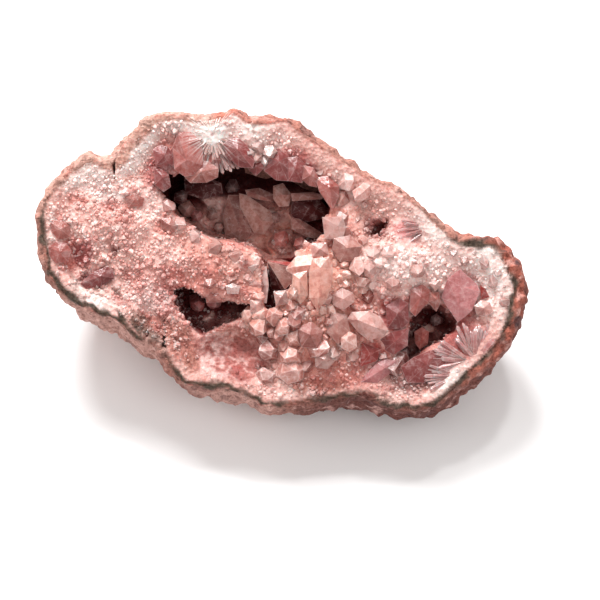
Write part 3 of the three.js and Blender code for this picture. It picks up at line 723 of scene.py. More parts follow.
def surface(field, low):
    """The closed surface of a field, as points in face coordinates and faces."""
    grid = openvdb.FloatGrid(CAD_BAND * VOXEL)
    grid.copyFromArray(field, ijk=tuple(int(c) for c in low))
    grid.transform = openvdb.createLinearTransform(voxelSize=VOXEL)
    points, triangles, quads = grid.convertToPolygons(isovalue=0)
    return points.astype(float), [*map(list, quads), *map(list, triangles)]


def new_mesh(name, points, faces):
    """A mesh of some points and faces."""
    mesh = bpy.data.meshes.new(name)
    mesh.from_pydata(points, [], faces)
    return mesh


def new_object(name, data):
    """An object for a mesh, a light or a camera, put in the scene."""
    thing = bpy.data.objects.new(name, data)
    bpy.context.scene.collection.objects.link(thing)
    return thing


def set_tint(mesh, colours):
    """Keeps a colour on each point of a mesh, as its tint."""
    layer = mesh.attributes.new("tint", "FLOAT_VECTOR", "POINT")
    layer.data.foreach_set("vector", np.ascontiguousarray(colours).ravel())


def set_values(mesh, values):
    """Keeps named numbers on each point of a mesh."""
    for key, numbers in values.items():
        mesh.attributes.new(key, "FLOAT", "POINT").data.foreach_set("value", numbers)


def plain_mesh(ground):
    """The mesh that an object's modifiers make. The object and its modifiers are removed."""
    bpy.context.view_layer.update()
    evaluated = ground.evaluated_get(bpy.context.evaluated_depsgraph_get())
    mesh = bpy.data.meshes.new_from_object(evaluated)
    ground.modifiers.clear()
    bpy.data.objects.remove(ground)
    return mesh


def finish_piece(name, mesh, material):
    """A visible piece of one mesh and one material, riding on the body."""
    mesh.materials.clear()
    mesh.materials.append(material)
    piece = new_object(name, mesh)
    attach(piece, BODY)
    return piece


def facing_out(points, faces):
    """The faces, turned round if they point into their solid."""
    corners = points[np.array([face[:3] for face in faces])]
    volume = np.einsum("ij,ij->", corners[:, 0], np.cross(corners[:, 1], corners[:, 2]))
    return faces if volume > 0 else [face[::-1] for face in faces]


def vertex_normals(points, faces):
    """Outward directions at the points of a closed mesh."""
    normals = np.zeros_like(points)
    for count in (3, 4):
        some = np.array([face for face in faces if len(face) == count])
        if len(some):
            square = np.cross(points[some[:, 2]] - points[some[:, 0]],
                              points[some[:, -1]] - points[some[:, 1]])
            for corner in range(count):
                np.add.at(normals, some[:, corner], square)
    return normals / np.maximum(np.linalg.norm(normals, axis=1), 1e-9)[:, None]


# Materials

class Value:
    """A socket's value in a node tree. Arithmetic on it adds Math nodes."""

    def __init__(self, tree, socket):
        self.tree = tree
        self.socket = socket

    def maths(self, operation, *values):
        """A Math node on some values, each a Value or a number."""
        return add(self.tree, "ShaderNodeMath", {"operation": operation}, dict(enumerate(values)))

    def __add__(self, other):
        return self.maths("ADD", self, other)

    def __sub__(self, other):
        return self.maths("SUBTRACT", self, other)

    def __rsub__(self, other):
        return self.maths("SUBTRACT", other, self)

    def __mul__(self, other):
        return self.maths("MULTIPLY", self, other)

    __radd__ = __add__
    __rmul__ = __mul__


def add(tree, kind, settings=None, values=None, output=0):
    """Adds a node with its settings and the values or links of its sockets."""
    node = tree.nodes.new(kind)
    for key, setting in (settings or {}).items():
        setattr(node, key, setting)
    for key, value in (values or {}).items():
        if isinstance(value, Value):
            tree.links.new(value.socket, node.inputs[key])
        else:
            node.inputs[key].default_value = value
    return Value(tree, node.outputs[output])


def mix(tree, share, first, second, how="MIX"):
    """A mix of two colours, each a value or a linear colour."""
    first, second = ((*c, 1) if isinstance(c, tuple) else c for c in (first, second))
    return add(tree, "ShaderNodeMix", {"data_type": "RGBA", "blend_type": how},
               {0: share, 6: first, 7: second}, 2)


def ramp(tree, value, low, high):
    """0 where a value is under low, 1 where it is over high."""
    return add(tree, "ShaderNodeMapRange", {"interpolation_type": "SMOOTHSTEP"},
               {"Value": value, "From Min": low, "From Max": high})


def stone_place(tree):
    """The place of a point on the stone, which stays with it."""
    return add(tree, "ShaderNodeTexCoord", output="Object")


def speckle(tree, size, detail, rough):
    """Noise from 0 to 1 with lumps of that size, in mm."""
    return add(tree, "ShaderNodeTexNoise", None,
               {"Vector": stone_place(tree), "Scale": 1 / (size * MM), "Detail": detail,
                "Roughness": rough}, "Fac")


def cells(tree, where, size, output="Distance", feature="F1"):
    """Uneven cells of that size, in mm."""
    return add(tree, "ShaderNodeTexVoronoi", {"feature": feature},
               {"Vector": where, "Scale": 1 / (size * MM)}, output)


def relief(tree, height, strength):
    """A bump of the surface, as deep as BUMP_DEPTH at full strength."""
    return add(tree, "ShaderNodeBump", None,
               {"Height": height, "Strength": strength, "Distance": BUMP_DEPTH})


def attribute(tree, name, output="Color"):
    """What a mesh keeps on its points under a name, as a colour or as a number."""
    return add(tree, "ShaderNodeAttribute", {"attribute_name": name}, output=output)


def new_material(name):
    """A material and its node tree, empty."""
    material = bpy.data.materials.new(name)
    material.use_nodes = True
    tree = material.node_tree
    tree.nodes.clear()
    return material, tree


def shader(tree, values, volume=None):
    """Ends a material in one Principled shader, and absorption inside if it is clear."""
    ends = {"Surface": add(tree, "ShaderNodeBsdfPrincipled", None, values, "BSDF")}
    if volume:
        colour, density = volume
        ends["Volume"] = add(tree, "ShaderNodeVolumeAbsorption", None,
                             {"Color": (*colour, 1), "Density": density}, "Volume")
    target = tree.nodes.new("ShaderNodeOutputMaterial")
    for key, value in ends.items():
        tree.links.new(value.socket, target.inputs[key])


QUARTZ_IOR = 1.544
BUMP_DEPTH = 0.0004

# Linear colours that the materials mix in: the stone's, the bed's, then the crystals', whose
# tip and edge colours are painted highlights

SHADES = {
    "pale speck": (0.82, 0.76, 0.74),
    "dark speck": (0.33, 0.26, 0.23),
    "pit": (0.45, 0.34, 0.30),
    "sugar": (0.93, 0.80, 0.78),
    "grain": (0.80, 0.45, 0.42),
    "mottle": (0.62, 0.42, 0.38),
    "cloud": (0.60, 0.34, 0.32),
    "milk": (0.96, 0.80, 0.77),
    "veil": (1.0, 0.90, 0.87),
    # painted highlights: at the crystals' tips, then on their edges
    "tip": (0.98, 0.88, 0.85),
    "edge": (1.0, 0.86, 0.82),
}

# The bed's finish: how rough it is, the size of its grains in mm, how much they stand out,
# and how much light is scattered under the surface, over which reach in metres

BED_FINISH = {"rough": 0.6, "cell": 0.9, "relief": 0.8, "scatter": 0.4, "reach": 0.002,
              "gloss": 0.12}

# Finishes of the crystals: how rough and how see-through they are, the light they absorb as
# (colour, density), how much they scatter and over which reach in metres, how strong the
# painted highlight on their edges is, their gloss, their milky veins, and if the needles of the
# white spot cross them

CRYSTAL_FINISH = {"absorption": None, "reach": 0.0012, "edge": 0.2, "veins": 0.38,
                  "needles": False}
CRYSTAL_FINISHES = {
    "clear_amethyst": {"rough": 0.14, "through": 0.4, "absorption": ((0.96, 0.60, 0.56), 60),
                       "scatter": 0.4, "edge": 0.25, "gloss": 0.3, "veins": 0.14,
                       "needles": True},
    "dusty_quartz": {"rough": 0.5, "through": 0.0, "scatter": 0.4, "edge": 0.1, "gloss": 0.2,
                     "veins": 0.12},
    "cluster_quartz": {"rough": 0.12, "through": 0.15, "absorption": ((0.97, 0.76, 0.70), 40),
                       "scatter": 0.5, "edge": 0.25, "gloss": 0.4, "veins": 0.3},
    "druse_quartz": {"rough": 0.32, "through": 0.0, "scatter": 0.6, "gloss": 0.2,
                     "reach": 0.0005},
    "clear_prism": {"rough": 0.12, "through": 0.5, "absorption": ((0.97, 0.80, 0.80), 30),
                    "scatter": 0.6, "edge": 0.5, "gloss": 0.4, "reach": 0.0002},
}


def stone_material():
    """Weathered stone: its own colours, speckled and pitted."""
    material, tree = new_material("weathered_stone")
    speck = speckle(tree, 0.5, 4, 0.7)
    pits = speckle(tree, 1.6, 5, 0.65)
    base = mix(tree, ramp(tree, speck, 0.4, 0.65) * 0.8, attribute(tree, "tint"),
               SHADES["pale speck"], "SOFT_LIGHT")
    base = mix(tree, ramp(tree, speck, 0.5, 0.34) * 0.6, base, SHADES["dark speck"], "MULTIPLY")
    base = mix(tree, ramp(tree, pits, 0.48, 0.36) * 0.5, base, SHADES["pit"], "MULTIPLY")
    rough = ramp(tree, speck, 0.2, 0.9) * -0.25 + 0.9
    shader(tree, {"Base Color": base, "Roughness": rough, "Specular IOR Level": 0.35,
                  "Normal": relief(tree, speck * 0.5 + pits, 0.8)})
    return material


def spot_needles(tree):
    """1 on the pale needles that spread from the white spot, 0 between and beyond them."""
    away = add(tree, "ShaderNodeVectorMath", {"operation": "SUBTRACT"},
               {0: stone_place(tree), 1: tuple(place([(*SPOT, 0)])[0])})
    across, along = (add(tree, "ShaderNodeVectorMath", {"operation": "DOT_PRODUCT"},
                         {0: away, 1: tuple(axis / MM)}, "Value") for axis in FACE_AXES[:2])
    turn = along.maths("ARCTAN2", along, across)
    distance = along.maths("SQRT", along * along + across * across)
    needles = add(tree, "ShaderNodeTexNoise", {"noise_dimensions": "1D"},
                  {"W": turn, "Scale": NEEDLES, "Detail": 3.0, "Roughness": 0.6})
    near = ramp(tree, distance, SPOT_REACH * 2.7, SPOT_REACH * 0.8)
    return ramp(tree, needles, 0.44, 0.62) * near


def bed_material():
    """Massive quartz: milky and crystalline, each of its grains a little different."""
    material, tree = new_material("massive_quartz")
    where = stone_place(tree)
    speck = speckle(tree, 0.45, 3, 0.6)
    mottle = speckle(tree, 1.0, 4, 0.7)
    tint = attribute(tree, "tint")
    shade = cells(tree, where, BED_FINISH["cell"], "Color")
    tone = add(tree, "ShaderNodeSeparateColor", None, {"Color": shade}, "Red")
    base = mix(tree, ramp(tree, speck, 0.45, 0.7) * 0.6, tint, SHADES["sugar"], "SOFT_LIGHT")
    base = mix(tree, ramp(tree, speck, 0.5, 0.3) * 0.35, base, tint, "MULTIPLY")
    base = mix(tree, ramp(tree, tone, 0.55, 1.0) * 0.25, base, SHADES["grain"], "MULTIPLY")
    base = mix(tree, ramp(tree, mottle, 0.52, 0.36) * 0.6, base, SHADES["mottle"], "MULTIPLY")
    base = mix(tree, spot_needles(tree) * 0.85, base, HUES["spot"])
    height = cells(tree, where, BED_FINISH["cell"])
    shader(tree, {"Base Color": base, "Roughness": BED_FINISH["rough"], "IOR": QUARTZ_IOR,
                  "Subsurface Weight": BED_FINISH["scatter"],
                  "Subsurface Radius": (1.0, 0.38, 0.32),
                  "Subsurface Scale": BED_FINISH["reach"],
                  "Specular IOR Level": BED_FINISH["gloss"],
                  "Normal": relief(tree, height, BED_FINISH["relief"])})
    return material


def crystal_material(name):
    """Clear to cloudy quartz: see-through, with painted highlights on edges and tips, and milky
    patches and veils.
    """
    finish = {**CRYSTAL_FINISH, **CRYSTAL_FINISHES[name]}
    material, tree = new_material(name)
    height, rim = attribute(tree, "height", "Fac"), attribute(tree, "rim", "Fac")
    cloud = speckle(tree, 1.3, 4, 0.65)
    base = mix(tree, 1.0, attribute(tree, "tint"), attribute(tree, "tone", "Fac"), "MULTIPLY")
    base = mix(tree, ramp(tree, cloud, 0.54, 0.34) * 0.6, base, SHADES["cloud"], "MULTIPLY")
    base = mix(tree, ramp(tree, cloud, 0.5, 0.7) * finish["veins"], base, SHADES["milk"])
    where = stone_place(tree)
    swirl = add(tree, "ShaderNodeTexNoise", None,
                {"Vector": where, "Scale": 700.0, "Detail": 2.0}, "Color")
    bent = mix(tree, 0.0012, where, swirl)
    veils = ramp(tree, cells(tree, bent, 1.4, feature="DISTANCE_TO_EDGE"), 0.09, 0.0)
    veils = veils * ramp(tree, cloud, 0.4, 0.6) * finish["veins"]
    base = mix(tree, veils, base, SHADES["veil"])
    # Painted highlights: lighter toward the tip of each crystal and on the borders of its faces
    base = mix(tree, ramp(tree, height, 0.6, 1.0) * 0.2, base, SHADES["tip"])
    base = mix(tree, rim * finish["edge"], base, SHADES["edge"])
    if finish["needles"]:
        base = mix(tree, spot_needles(tree) * 0.8, base, HUES["spot"])
    shader(tree, {"Base Color": base, "Roughness": finish["rough"], "IOR": QUARTZ_IOR,
                  "Transmission Weight": finish["through"],
                  "Subsurface Weight": finish["scatter"],
                  "Subsurface Radius": (1.0, 0.6, 0.55), "Subsurface Scale": finish["reach"],
                  "Specular IOR Level": finish["gloss"],
                  "Normal": relief(tree, speckle(tree, 0.6, 4, 0.65), 0.3)},
           finish["absorption"])
    return material


# Crystals

# A prism's end faces lean in by an angle from level, and its sides by a small slope. Every
# other end face is moved in by more. Faces have borders of one width with a painted highlight,
# and tones between two. Crystals are turned from a direction that none of them has.

PRISM_TILT = math.radians(38.2)
PRISM_TAPER = 0.03
END_DROPS = (0.7, 1.6)
HIGHLIGHT_BORDER = 0.07
SHADE_RANGE = (0.74, 1.12)
ASIDE = (0.31, 0.17, 0.93)

# A block's foot next to its outline, how far the corners of the outline lie from its level,
# how high the top is in its colour, below the painted tip highlight, and how far over the level
# its corners have no painted edge highlight

BLOCK_FOOT = 0.8
BLOCK_UNEVEN = (-0.3, 0.1)
BLOCK_TOP = 0.6
BLOCK_CREST = 0.15


def hull(corners):
    """The points and the flat faces, looking outward, of the least solid round some corners."""
    mesh = bmesh.new()
    for corner in np.unique(np.round(corners, 5), axis=0):
        mesh.verts.new(corner)
    made = bmesh.ops.convex_hull(mesh, input=mesh.verts)
    spare = [e for e in made["geom_interior"] if isinstance(e, bmesh.types.BMVert)]
    bmesh.ops.delete(mesh, geom=spare, context="VERTS")
    bmesh.ops.dissolve_limit(mesh, angle_limit=0.01, verts=mesh.verts, edges=mesh.edges)
    mesh.verts.index_update()
    mesh.normal_update()
    points = np.array([vert.co for vert in mesh.verts])
    middle = Vector(points.mean(0))
    faces = []
    for face in mesh.faces:
        line = [vert.index for vert in face.verts]
        outward = face.normal.dot(face.calc_center_median() - middle) > 0
        faces.append(line if outward else line[::-1])
    mesh.free()
    return points, faces


def bordered(rows, faces, width):
    """Splits every flat face into a border of that width and the field inside it.

    The first three columns of a row are its point, and the others are mixed along with it.
    Returns the rows, the faces, 1 for each outer point and 0 for each inner one, and the
    number of each inner point's face.
    """
    result, parts = [], [rows]
    outer, owner = [np.ones(len(rows))], [np.zeros(len(rows), int)]
    count = len(rows)
    for number, face in enumerate(faces):
        corners = rows[face]
        middle = corners.mean(0)
        sides = (np.roll(corners, -1, 0) - corners)[:, :3]
        areas = np.linalg.norm(np.cross((middle - corners)[:, :3], sides), axis=1)
        reach = (areas / np.maximum(np.linalg.norm(sides, axis=1), 1e-9)).min()
        parts.append(corners + (middle - corners) * min(width / max(reach, 1e-6), 0.6))
        size = len(face)
        inner = list(range(count, count + size))
        result.append(inner)
        for side in range(size):
            after = (side + 1) % size
            result.append([face[side], face[after], inner[after], inner[side]])
        outer.append(np.zeros(size))
        owner.append(np.full(size, number))
        count += size
    return np.concatenate(parts), result, np.concatenate(outer), np.concatenate(owner)


def quartz_form(rng, length, radius, spread=0.16, root=0.5):
    """A six-sided crystal with an uneven point, along +z from its root at 0, in mm.

    Its faces are planes. Six stand around the axis and six lean in to the tip, each moved a
    little and every other one more, and its corners are where three planes meet inside all
    the others.
    """
    planes = [((0, 0, -1), root * radius)]
    turn = rng.uniform(0, math.tau)
    for side in range(6):
        angle = turn + side * math.pi / 3
        across = np.array([math.cos(angle), math.sin(angle)])
        out = np.array([*across, PRISM_TAPER])
        reach = radius * (1 + rng.uniform(-spread, spread))
        planes.append((out / np.linalg.norm(out), reach))
        lean = np.array([*across * math.cos(PRISM_TILT), math.sin(PRISM_TILT)])
        drop = radius * abs(rng.normal(0, spread)) * END_DROPS[side % 2]
        planes.append((lean, (length - drop) * lean[2]))
    normals = np.array([plane[0] for plane in planes], float)
    reaches = np.array([plane[1] for plane in planes])
    count = len(planes)
    triples = np.array([(i, j, k) for i in range(count) for j in range(i) for k in range(j)])
    square = normals[triples]
    solvable = np.abs(np.linalg.det(square)) > 1e-4
    corners = np.linalg.solve(square[solvable], reaches[triples[solvable]][..., None])[..., 0]
    return hull(corners[(corners @ normals.T <= reaches + 1e-6).all(1)])


def stood(points, root, tip, spin):
    """Moves a crystal that stands on +z so that it runs from its root toward its tip."""
    axis = np.array(tip, float) - root
    axis /= np.linalg.norm(axis)
    side = np.cross(ASIDE, axis)
    side /= np.linalg.norm(side)
    other = np.cross(axis, side)
    turned = side * math.cos(spin) + other * math.sin(spin)
    beside = np.cross(axis, turned)
    x, y, z = points[:, :1], points[:, 1:2], points[:, 2:]
    return np.asarray(root) + x * turned + y * beside + z * axis


class Cluster:
    """Crystals joined in one mesh, with colour, height, painted edge highlight and tone at each
    point.
    """

    def __init__(self, seed, shades=SHADE_RANGE):
        self.rng = np.random.default_rng(seed)
        self.shades = shades
        self.rows, self.faces, self.outer, self.tones = [], [], [], []
        self.count = 0

    def join(self, points, faces, colours, heights, border=HIGHLIGHT_BORDER, edges=1.0):
        """Adds a solid with flat faces, each a little lighter or darker than the next.

        Its edges carry a painted highlight, or where edges is 0 at a corner, they are as its
        faces.
        """
        rows = np.column_stack([points, heights, colours])
        sharp = np.ones(len(rows)) * edges
        rows, faces, outer, owner = bordered(rows, faces, border)
        tones = self.rng.uniform(*self.shades, owner.max() + 1)[owner]
        self.rows.append(rows)
        self.faces += [[index + self.count for index in face] for face in faces]
        outer[:len(sharp)] = sharp
        self.outer.append(outer)
        self.tones.append(np.where(outer > 0, 1.0, tones))
        self.count += len(rows)

    def grow(self, root, tip, radius, hue=None, root_hue=None, border=HIGHLIGHT_BORDER):
        """Adds a six-sided crystal from its root to its tip, in the bed's colour without a hue."""
        root, tip = np.array(root, float), np.array(tip, float)
        length = np.linalg.norm(tip - root)
        points, faces = quartz_form(self.rng, length, radius)
        standing = stood(points, root, tip, self.rng.uniform(0, math.tau))
        colour = hue_of(hue) if hue else tints(np.array([root * 0.4 + tip * 0.6]))[0]
        heights = np.clip(points[:, 2] / length, 0, 1)
        colours = np.tile(colour, (len(points), 1))
        if root_hue:
            colours = blend(colours, root_hue, smooth(0.7, 0.0, heights))
        self.join(standing, faces, colours, heights, border)

    def block(self, hue, level, depth, outline, ridge):
        """Adds a broken or flat crystal: its outline on the face, a raised ridge and its root."""
        outline = np.array(outline, float)
        middle = outline.mean(0)
        uneven = self.rng.uniform(*BLOCK_UNEVEN, len(outline))
        top = np.column_stack([outline, level + uneven])
        crest = np.array([(u, v, level + rise) for u, v, rise in ridge]).reshape(-1, 3)
        foot = middle + (outline - middle) * BLOCK_FOOT
        foot = np.column_stack([foot, np.full(len(foot), level - depth)])
        points, faces = hull(np.concatenate([top, crest, foot]))
        heights = np.clip((points[:, 2] - level + depth) / depth, 0, 1) * BLOCK_TOP
        edges = np.where(points[:, 2] > level + BLOCK_CREST, 0.0, 1.0)
        colours = np.tile(hue_of(hue), (len(points), 1))
        self.join(points, faces, colours, heights, edges=edges)

    def piece(self, name, material):
        """Makes the joined crystals one piece."""
        rows = np.concatenate(self.rows)
        mesh = new_mesh(name, place(rows[:, :3]), self.faces)
        mesh.validate()
        set_tint(mesh, rows[:, 4:])
        set_values(mesh, {"height": rows[:, 3], "rim": np.concatenate(self.outer),
                          "tone": np.concatenate(self.tones)})
        finish_piece(name, mesh, material)


# Large crystals as (root, tip, radius, hue). The points are in face coordinates for the
# fringe over the main hollow and inside the hollows. On the left, in the middle and on the
# right, w is counted from the bed at the crystal's root.

TOP_FRINGE = [
    ((-10.6, 21.8, -3.0), (-9.4, 16.6, -1.6), 1.6, "mauve"),
    ((-2.0, 20.8, -3.0), (-2.4, 19.2, 0.6), 1.3, "frost"),
    ((-4.4, 21.4, -3.0), (-4.6, 20.6, 0.8), 1.4, "frost"),
    ((-6.0, 20.0, -2.8), (-6.2, 19.6, 0.6), 1.1, "frost"),
    ((-4.6, 19.4, -2.8), (-4.8, 18.4, 0.2), 1.3, "blush"),
    ((-3.0, 18.8, -3.0), (-3.0, 17.6, -0.2), 1.1, "frost"),
    ((4.6, 19.8, -3.4), (4.8, 17.4, -0.6), 1.7, "dusky"),
    ((7.0, 17.6, -3.0), (7.2, 15.8, -0.2), 1.5, "blush"),
    ((11.6, 12.4, -3.6), (9.8, 9.4, -0.8), 1.9, "peach"),
    ((12.0, 7.6, -3.4), (9.2, 6.4, 0.0), 1.8, "peach"),
    ((-20.2, 20.4, -3.0), (-20.8, 16.8, -1.0), 1.3, "mauve"),
    ((-12.8, 21.0, -3.0), (-12.6, 15.8, -2.2), 1.8, "dusky"),
]

# Crystals with a known outline: (hue, level, depth, outline, ridge). A ridge's points are
# (u, v, rise over the level). On the bed the level is counted from the bed.

FRINGE_BLOCKS = [
    ("mauve", -0.3, 3.5, [(-24.0, 20.5), (-22.7, 21.4), (-21.2, 21.0), (-20.1, 19.5),
                          (-20.1, 17.3), (-21.4, 16.5), (-23.4, 17.6)],
     [(-21.7, 19.3, 0.8), (-21.2, 18.0, 0.5)]),
    ("mauve", -0.5, 3.5, [(-23.8, 17.3), (-22.3, 17.3), (-21.0, 15.8), (-20.6, 13.6),
                          (-22.0, 12.6), (-23.6, 14.0)], [(-22.1, 15.3, 0.6)]),
    ("dusky", -0.2, 4, [(-19.4, 23.6), (-17.2, 24.0), (-15.4, 22.4), (-14.7, 20.4), (-14.6, 17.6),
                        (-16.0, 15.8), (-18.0, 15.4), (-20.0, 16.8), (-20.3, 20.8)],
     [(-17.2, 21.4, 0.6), (-17.6, 18.4, 0.9)]),
    ("salmon", -0.9, 4, [(-18.3, 16.4), (-16.5, 18.2), (-13.6, 18.4), (-11.8, 17.0), (-11.9, 15.4),
                         (-14.0, 14.4), (-17.0, 14.3), (-18.0, 15.2)], [(-15.0, 16.4, 0.8)]),
    ("mauve", -0.2, 4, [(-10.9, 21.5), (-9.9, 22.6), (-8.0, 22.6), (-6.4, 21.2), (-5.0, 18.4),
                        (-5.4, 17.0), (-8.0, 17.2), (-10.2, 19.2)], [(-8.2, 20.4, 0.9)]),
    ("mauve", -1.1, 3, [(-6.6, 18.5), (-3.0, 18.4), (-3.4, 17.0), (-4.9, 15.6), (-6.2, 16.8)],
     [(-4.7, 17.4, 0.5)]),
    ("mauve", -1.0, 4, [(-3.4, 16.6), (-3.0, 18.9), (-0.8, 20.9), (1.3, 19.2), (1.7, 16.6),
                       (1.1, 14.7), (-1.1, 14.8)], [(-0.6, 18.3, 0.9)]),
    ("mauve", -0.8, 4, [(1.0, 19.0), (2.8, 19.3), (4.5, 17.6), (4.5, 15.6), (3.7, 14.3),
                       (1.1, 14.7)],
     [(2.6, 17.0, 0.9)]),
    ("dusky", -0.5, 4, [(6.1, 15.3), (8.5, 15.7), (10.6, 13.8), (10.6, 11.8), (9.3, 9.2),
                        (8.1, 11.0), (6.9, 12.7)], [(8.9, 13.4, 0.8)]),
    ("dusky", -0.7, 4, [(3.9, 17.7), (5.8, 17.2), (7.0, 14.9), (6.4, 13.5), (5.0, 13.8),
                        (3.7, 14.9)],
     [(5.2, 15.7, 0.7)]),
]
# The maroon of the blocks in the hollows is partly their own colour and partly painted shade
HOLLOW_BLOCKS = [
    ("slab", -11.0, 5, [(-8.4, 13.1), (-6.8, 12.7), (-2.2, 9.5), (-1.7, 7.6), (-3.6, 5.3),
                        (-5.5, 5.4), (-8.2, 10.4)], [(-4.0, 7.6, 1.6), (-7.0, 11.4, 0.2)]),
    ("floor", -11.6, 4, [(-10.5, 12.8), (-8.2, 12.8), (-5.5, 5.3), (-8.2, 3.7), (-11.1, 4.9),
                         (-11.5, 8.5)], [(-8.2, 6.0, 1.4)]),
    ("floor", -11.0, 4, [(-7.2, 13.7), (-4.5, 14.1), (-1.8, 12.9), (-1.8, 11.4), (-4.5, 11.8),
                         (-6.8, 12.5)], [(-4.0, 12.5, 0.5)]),
    ("slab", -9.6, 5, [(-1.8, 14.4), (0.1, 14.9), (1.8, 12.6), (1.2, 10.5), (-0.7, 10.4),
                       (-1.8, 11.9)], [(-0.1, 12.6, 1.2)]),
    ("floor", -8.4, 4, [(1.6, 12.9), (5.6, 13.1), (8.1, 12.6), (7.5, 11.8), (1.8, 11.4)], []),
    ("maroon", -9.5, 4, [(1.8, 11.5), (6.4, 12.4), (9.3, 9.4), (8.9, 8.4), (3.0, 7.1), (1.6, 9.0)],
     [(5.6, 10.5, 1.2)]),
    ("floor", -9.0, 3, [(1.6, 8.4), (3.3, 8.0), (7.5, 5.4), (7.5, 4.0), (4.5, 4.6), (1.8, 6.1)],
     [(4.5, 6.1, 0.8)]),
    ("maroon", -9.5, 5, [(-18.8, 15.9), (-14.6, 16.1), (-11.7, 14.9), (-11.4, 13.0), (-15.2, 11.7),
                         (-18.6, 13.0)], [(-15.0, 14.4, 1.0)]),
    ("dusky", -5.0, 4, [(24.8, -13.4), (26.3, -12.5), (27.6, -13.4), (27.4, -15.7), (25.9, -16.8),
                        (25.0, -15.5)], [(26.3, -14.6, 1.0)]),
    ("red", -3.6, 4, [(-10.2, -12.1), (-6.0, -10.0), (-3.0, -9.7), (-2.8, -12.1), (-6.0, -12.5)],
     [(-6.0, -11.2, 0.6)]),
]

# The big crystal that points up in the cleft, face by face: (hue, corners). The hues are painted
# light and shade: pale on the faces turned to the light, dark red on those turned away. Each
# face stands on a foot a little smaller than itself, and keeps one height in its colour, below
# the painted tip highlight.

SPIRE_LIT_AND_SHADED_FACES = [
    ("slab", [(-2.7, -0.3, -1.8), (2.8, -1.6, -3.0), (2.2, -3.8, -3.2), (0.5, -5.5, -3.4)]),
    ("maroon", [(-2.7, -0.3, -1.9), (0.5, -5.5, -3.5), (-0.1, -5.7, -3.8), (-2.0, -5.5, -5.3)]),
    ("red", [(-2.7, -0.1, -2.0), (4.1, -0.4, -3.8), (3.5, -1.4, -3.3), (2.8, -1.6, -3.1)]),
    ("frost", [(-4.0, -1.4, -2.4), (-2.9, -1.1, -2.2), (-2.5, -4.6, -2.8), (-2.9, -8.0, -2.8),
               (-3.9, -8.0, -3.0)]),
]
SPIRE_DEPTH = 5.0
SPIRE_FOOT = 0.9
SPIRE_HEIGHT = 0.3

# The maroon of the crystals in the hollows is partly their own colour and partly painted shade
HOLLOW_CRYSTALS = [
    ((-0.2, 3.8, -13.0), (-0.2, 3.8, -7.6), 1.7, "dusky"),
    ((3.6, 3.2, -12.0), (3.6, 3.2, -7.0), 1.3, "dusky"),
    ((-18.6, 10.4, -13.5), (-18.2, 9.8, -8.2), 1.5, "floor"),
    ((-16.6, 9.0, -13.5), (-16.4, 8.6, -8.8), 1.2, "mauve"),
    ((-19.9, 12.0, -12.0), (-19.0, 12.4, -7.6), 1.3, "maroon"),
    ((-13.6, 9.4, -15.0), (-13.4, 8.8, -10.6), 1.1, "floor"),
    ((-12.4, 6.6, -13.0), (-12.2, 6.2, -9.4), 0.9, "floor"),
    ((-1.4, 8.6, -14.0), (-1.2, 8.2, -10.2), 1.0, "floor"),
    ((-9.8, 14.6, -17.0), (-9.6, 14.2, -11.4), 1.6, "maroon"),
    ((-13.4, -6.6, -9.0), (-12.6, -8.6, -4.6), 1.4, "mauve"),
    ((-16.4, -7.4, -9.0), (-15.8, -9.4, -5.4), 1.3, "mauve"),
    ((23.0, -17.4, -8.5), (23.4, -17.0, -5.2), 0.9, "maroon"),
    ((29.6, -10.6, -8.5), (28.6, -11.4, -4.4), 1.2, "maroon"),
]
LEFT_BLOCKS = [
    ("mauve", 0.5, 3, [(-37.5, -4.4), (-35.3, -2.4), (-32.5, -1.1), (-31.4, -1.7), (-31.1, -3.3),
                      (-33.5, -4.8), (-36.4, -5.4)], [(-33.6, -3.0, 0.6)]),
    ("dusky", 0.5, 3, [(-43.3, 2.4), (-41.8, 3.5), (-39.9, 3.1), (-39.0, 1.7), (-39.6, -0.4),
                       (-42.0, -0.6), (-43.1, 0.7)], [(-41.0, 1.5, 0.6)]),
    ("salmon", 0.4, 3, [(-42.9, 7.0), (-41.1, 7.6), (-39.2, 6.5), (-39.2, 4.2), (-41.4, 3.7),
                        (-42.7, 5.2)], [(-40.9, 5.7, 0.6)]),
    ("salmon", 0.4, 3, [(-29.2, 11.8), (-27.4, 12.4), (-25.5, 11.5), (-25.9, 10.0), (-28.5, 9.8)],
     [(-27.4, 11.1, 0.5)]),
    ("salmon", 0.6, 3, [(-22.5, 7.7), (-20.7, 7.9), (-19.2, 6.3), (-20.3, 5.0), (-22.4, 5.7)],
     [(-20.9, 6.5, 0.6)]),
    ("frost", 1.0, 3, [(-10.5, -4.8), (-9.2, -4.3), (-7.7, -4.8), (-8.1, -6.3), (-10.1, -6.3)],
     [(-9.2, -5.2, 0.3)]),
    ("blush", 0.6, 4, [(-5.9, -7.4), (-3.7, -7.4), (-3.5, -9.1), (-4.6, -10.4), (-5.9, -9.4)],
     [(-4.8, -8.3, 0.6)]),
    ("salmon", -0.2, 4, [(-14.5, -5.2), (-11.1, -5.4), (-10.7, -7.8), (-14.1, -8.0)],
     [(-12.6, -6.9, 0.8)]),
]
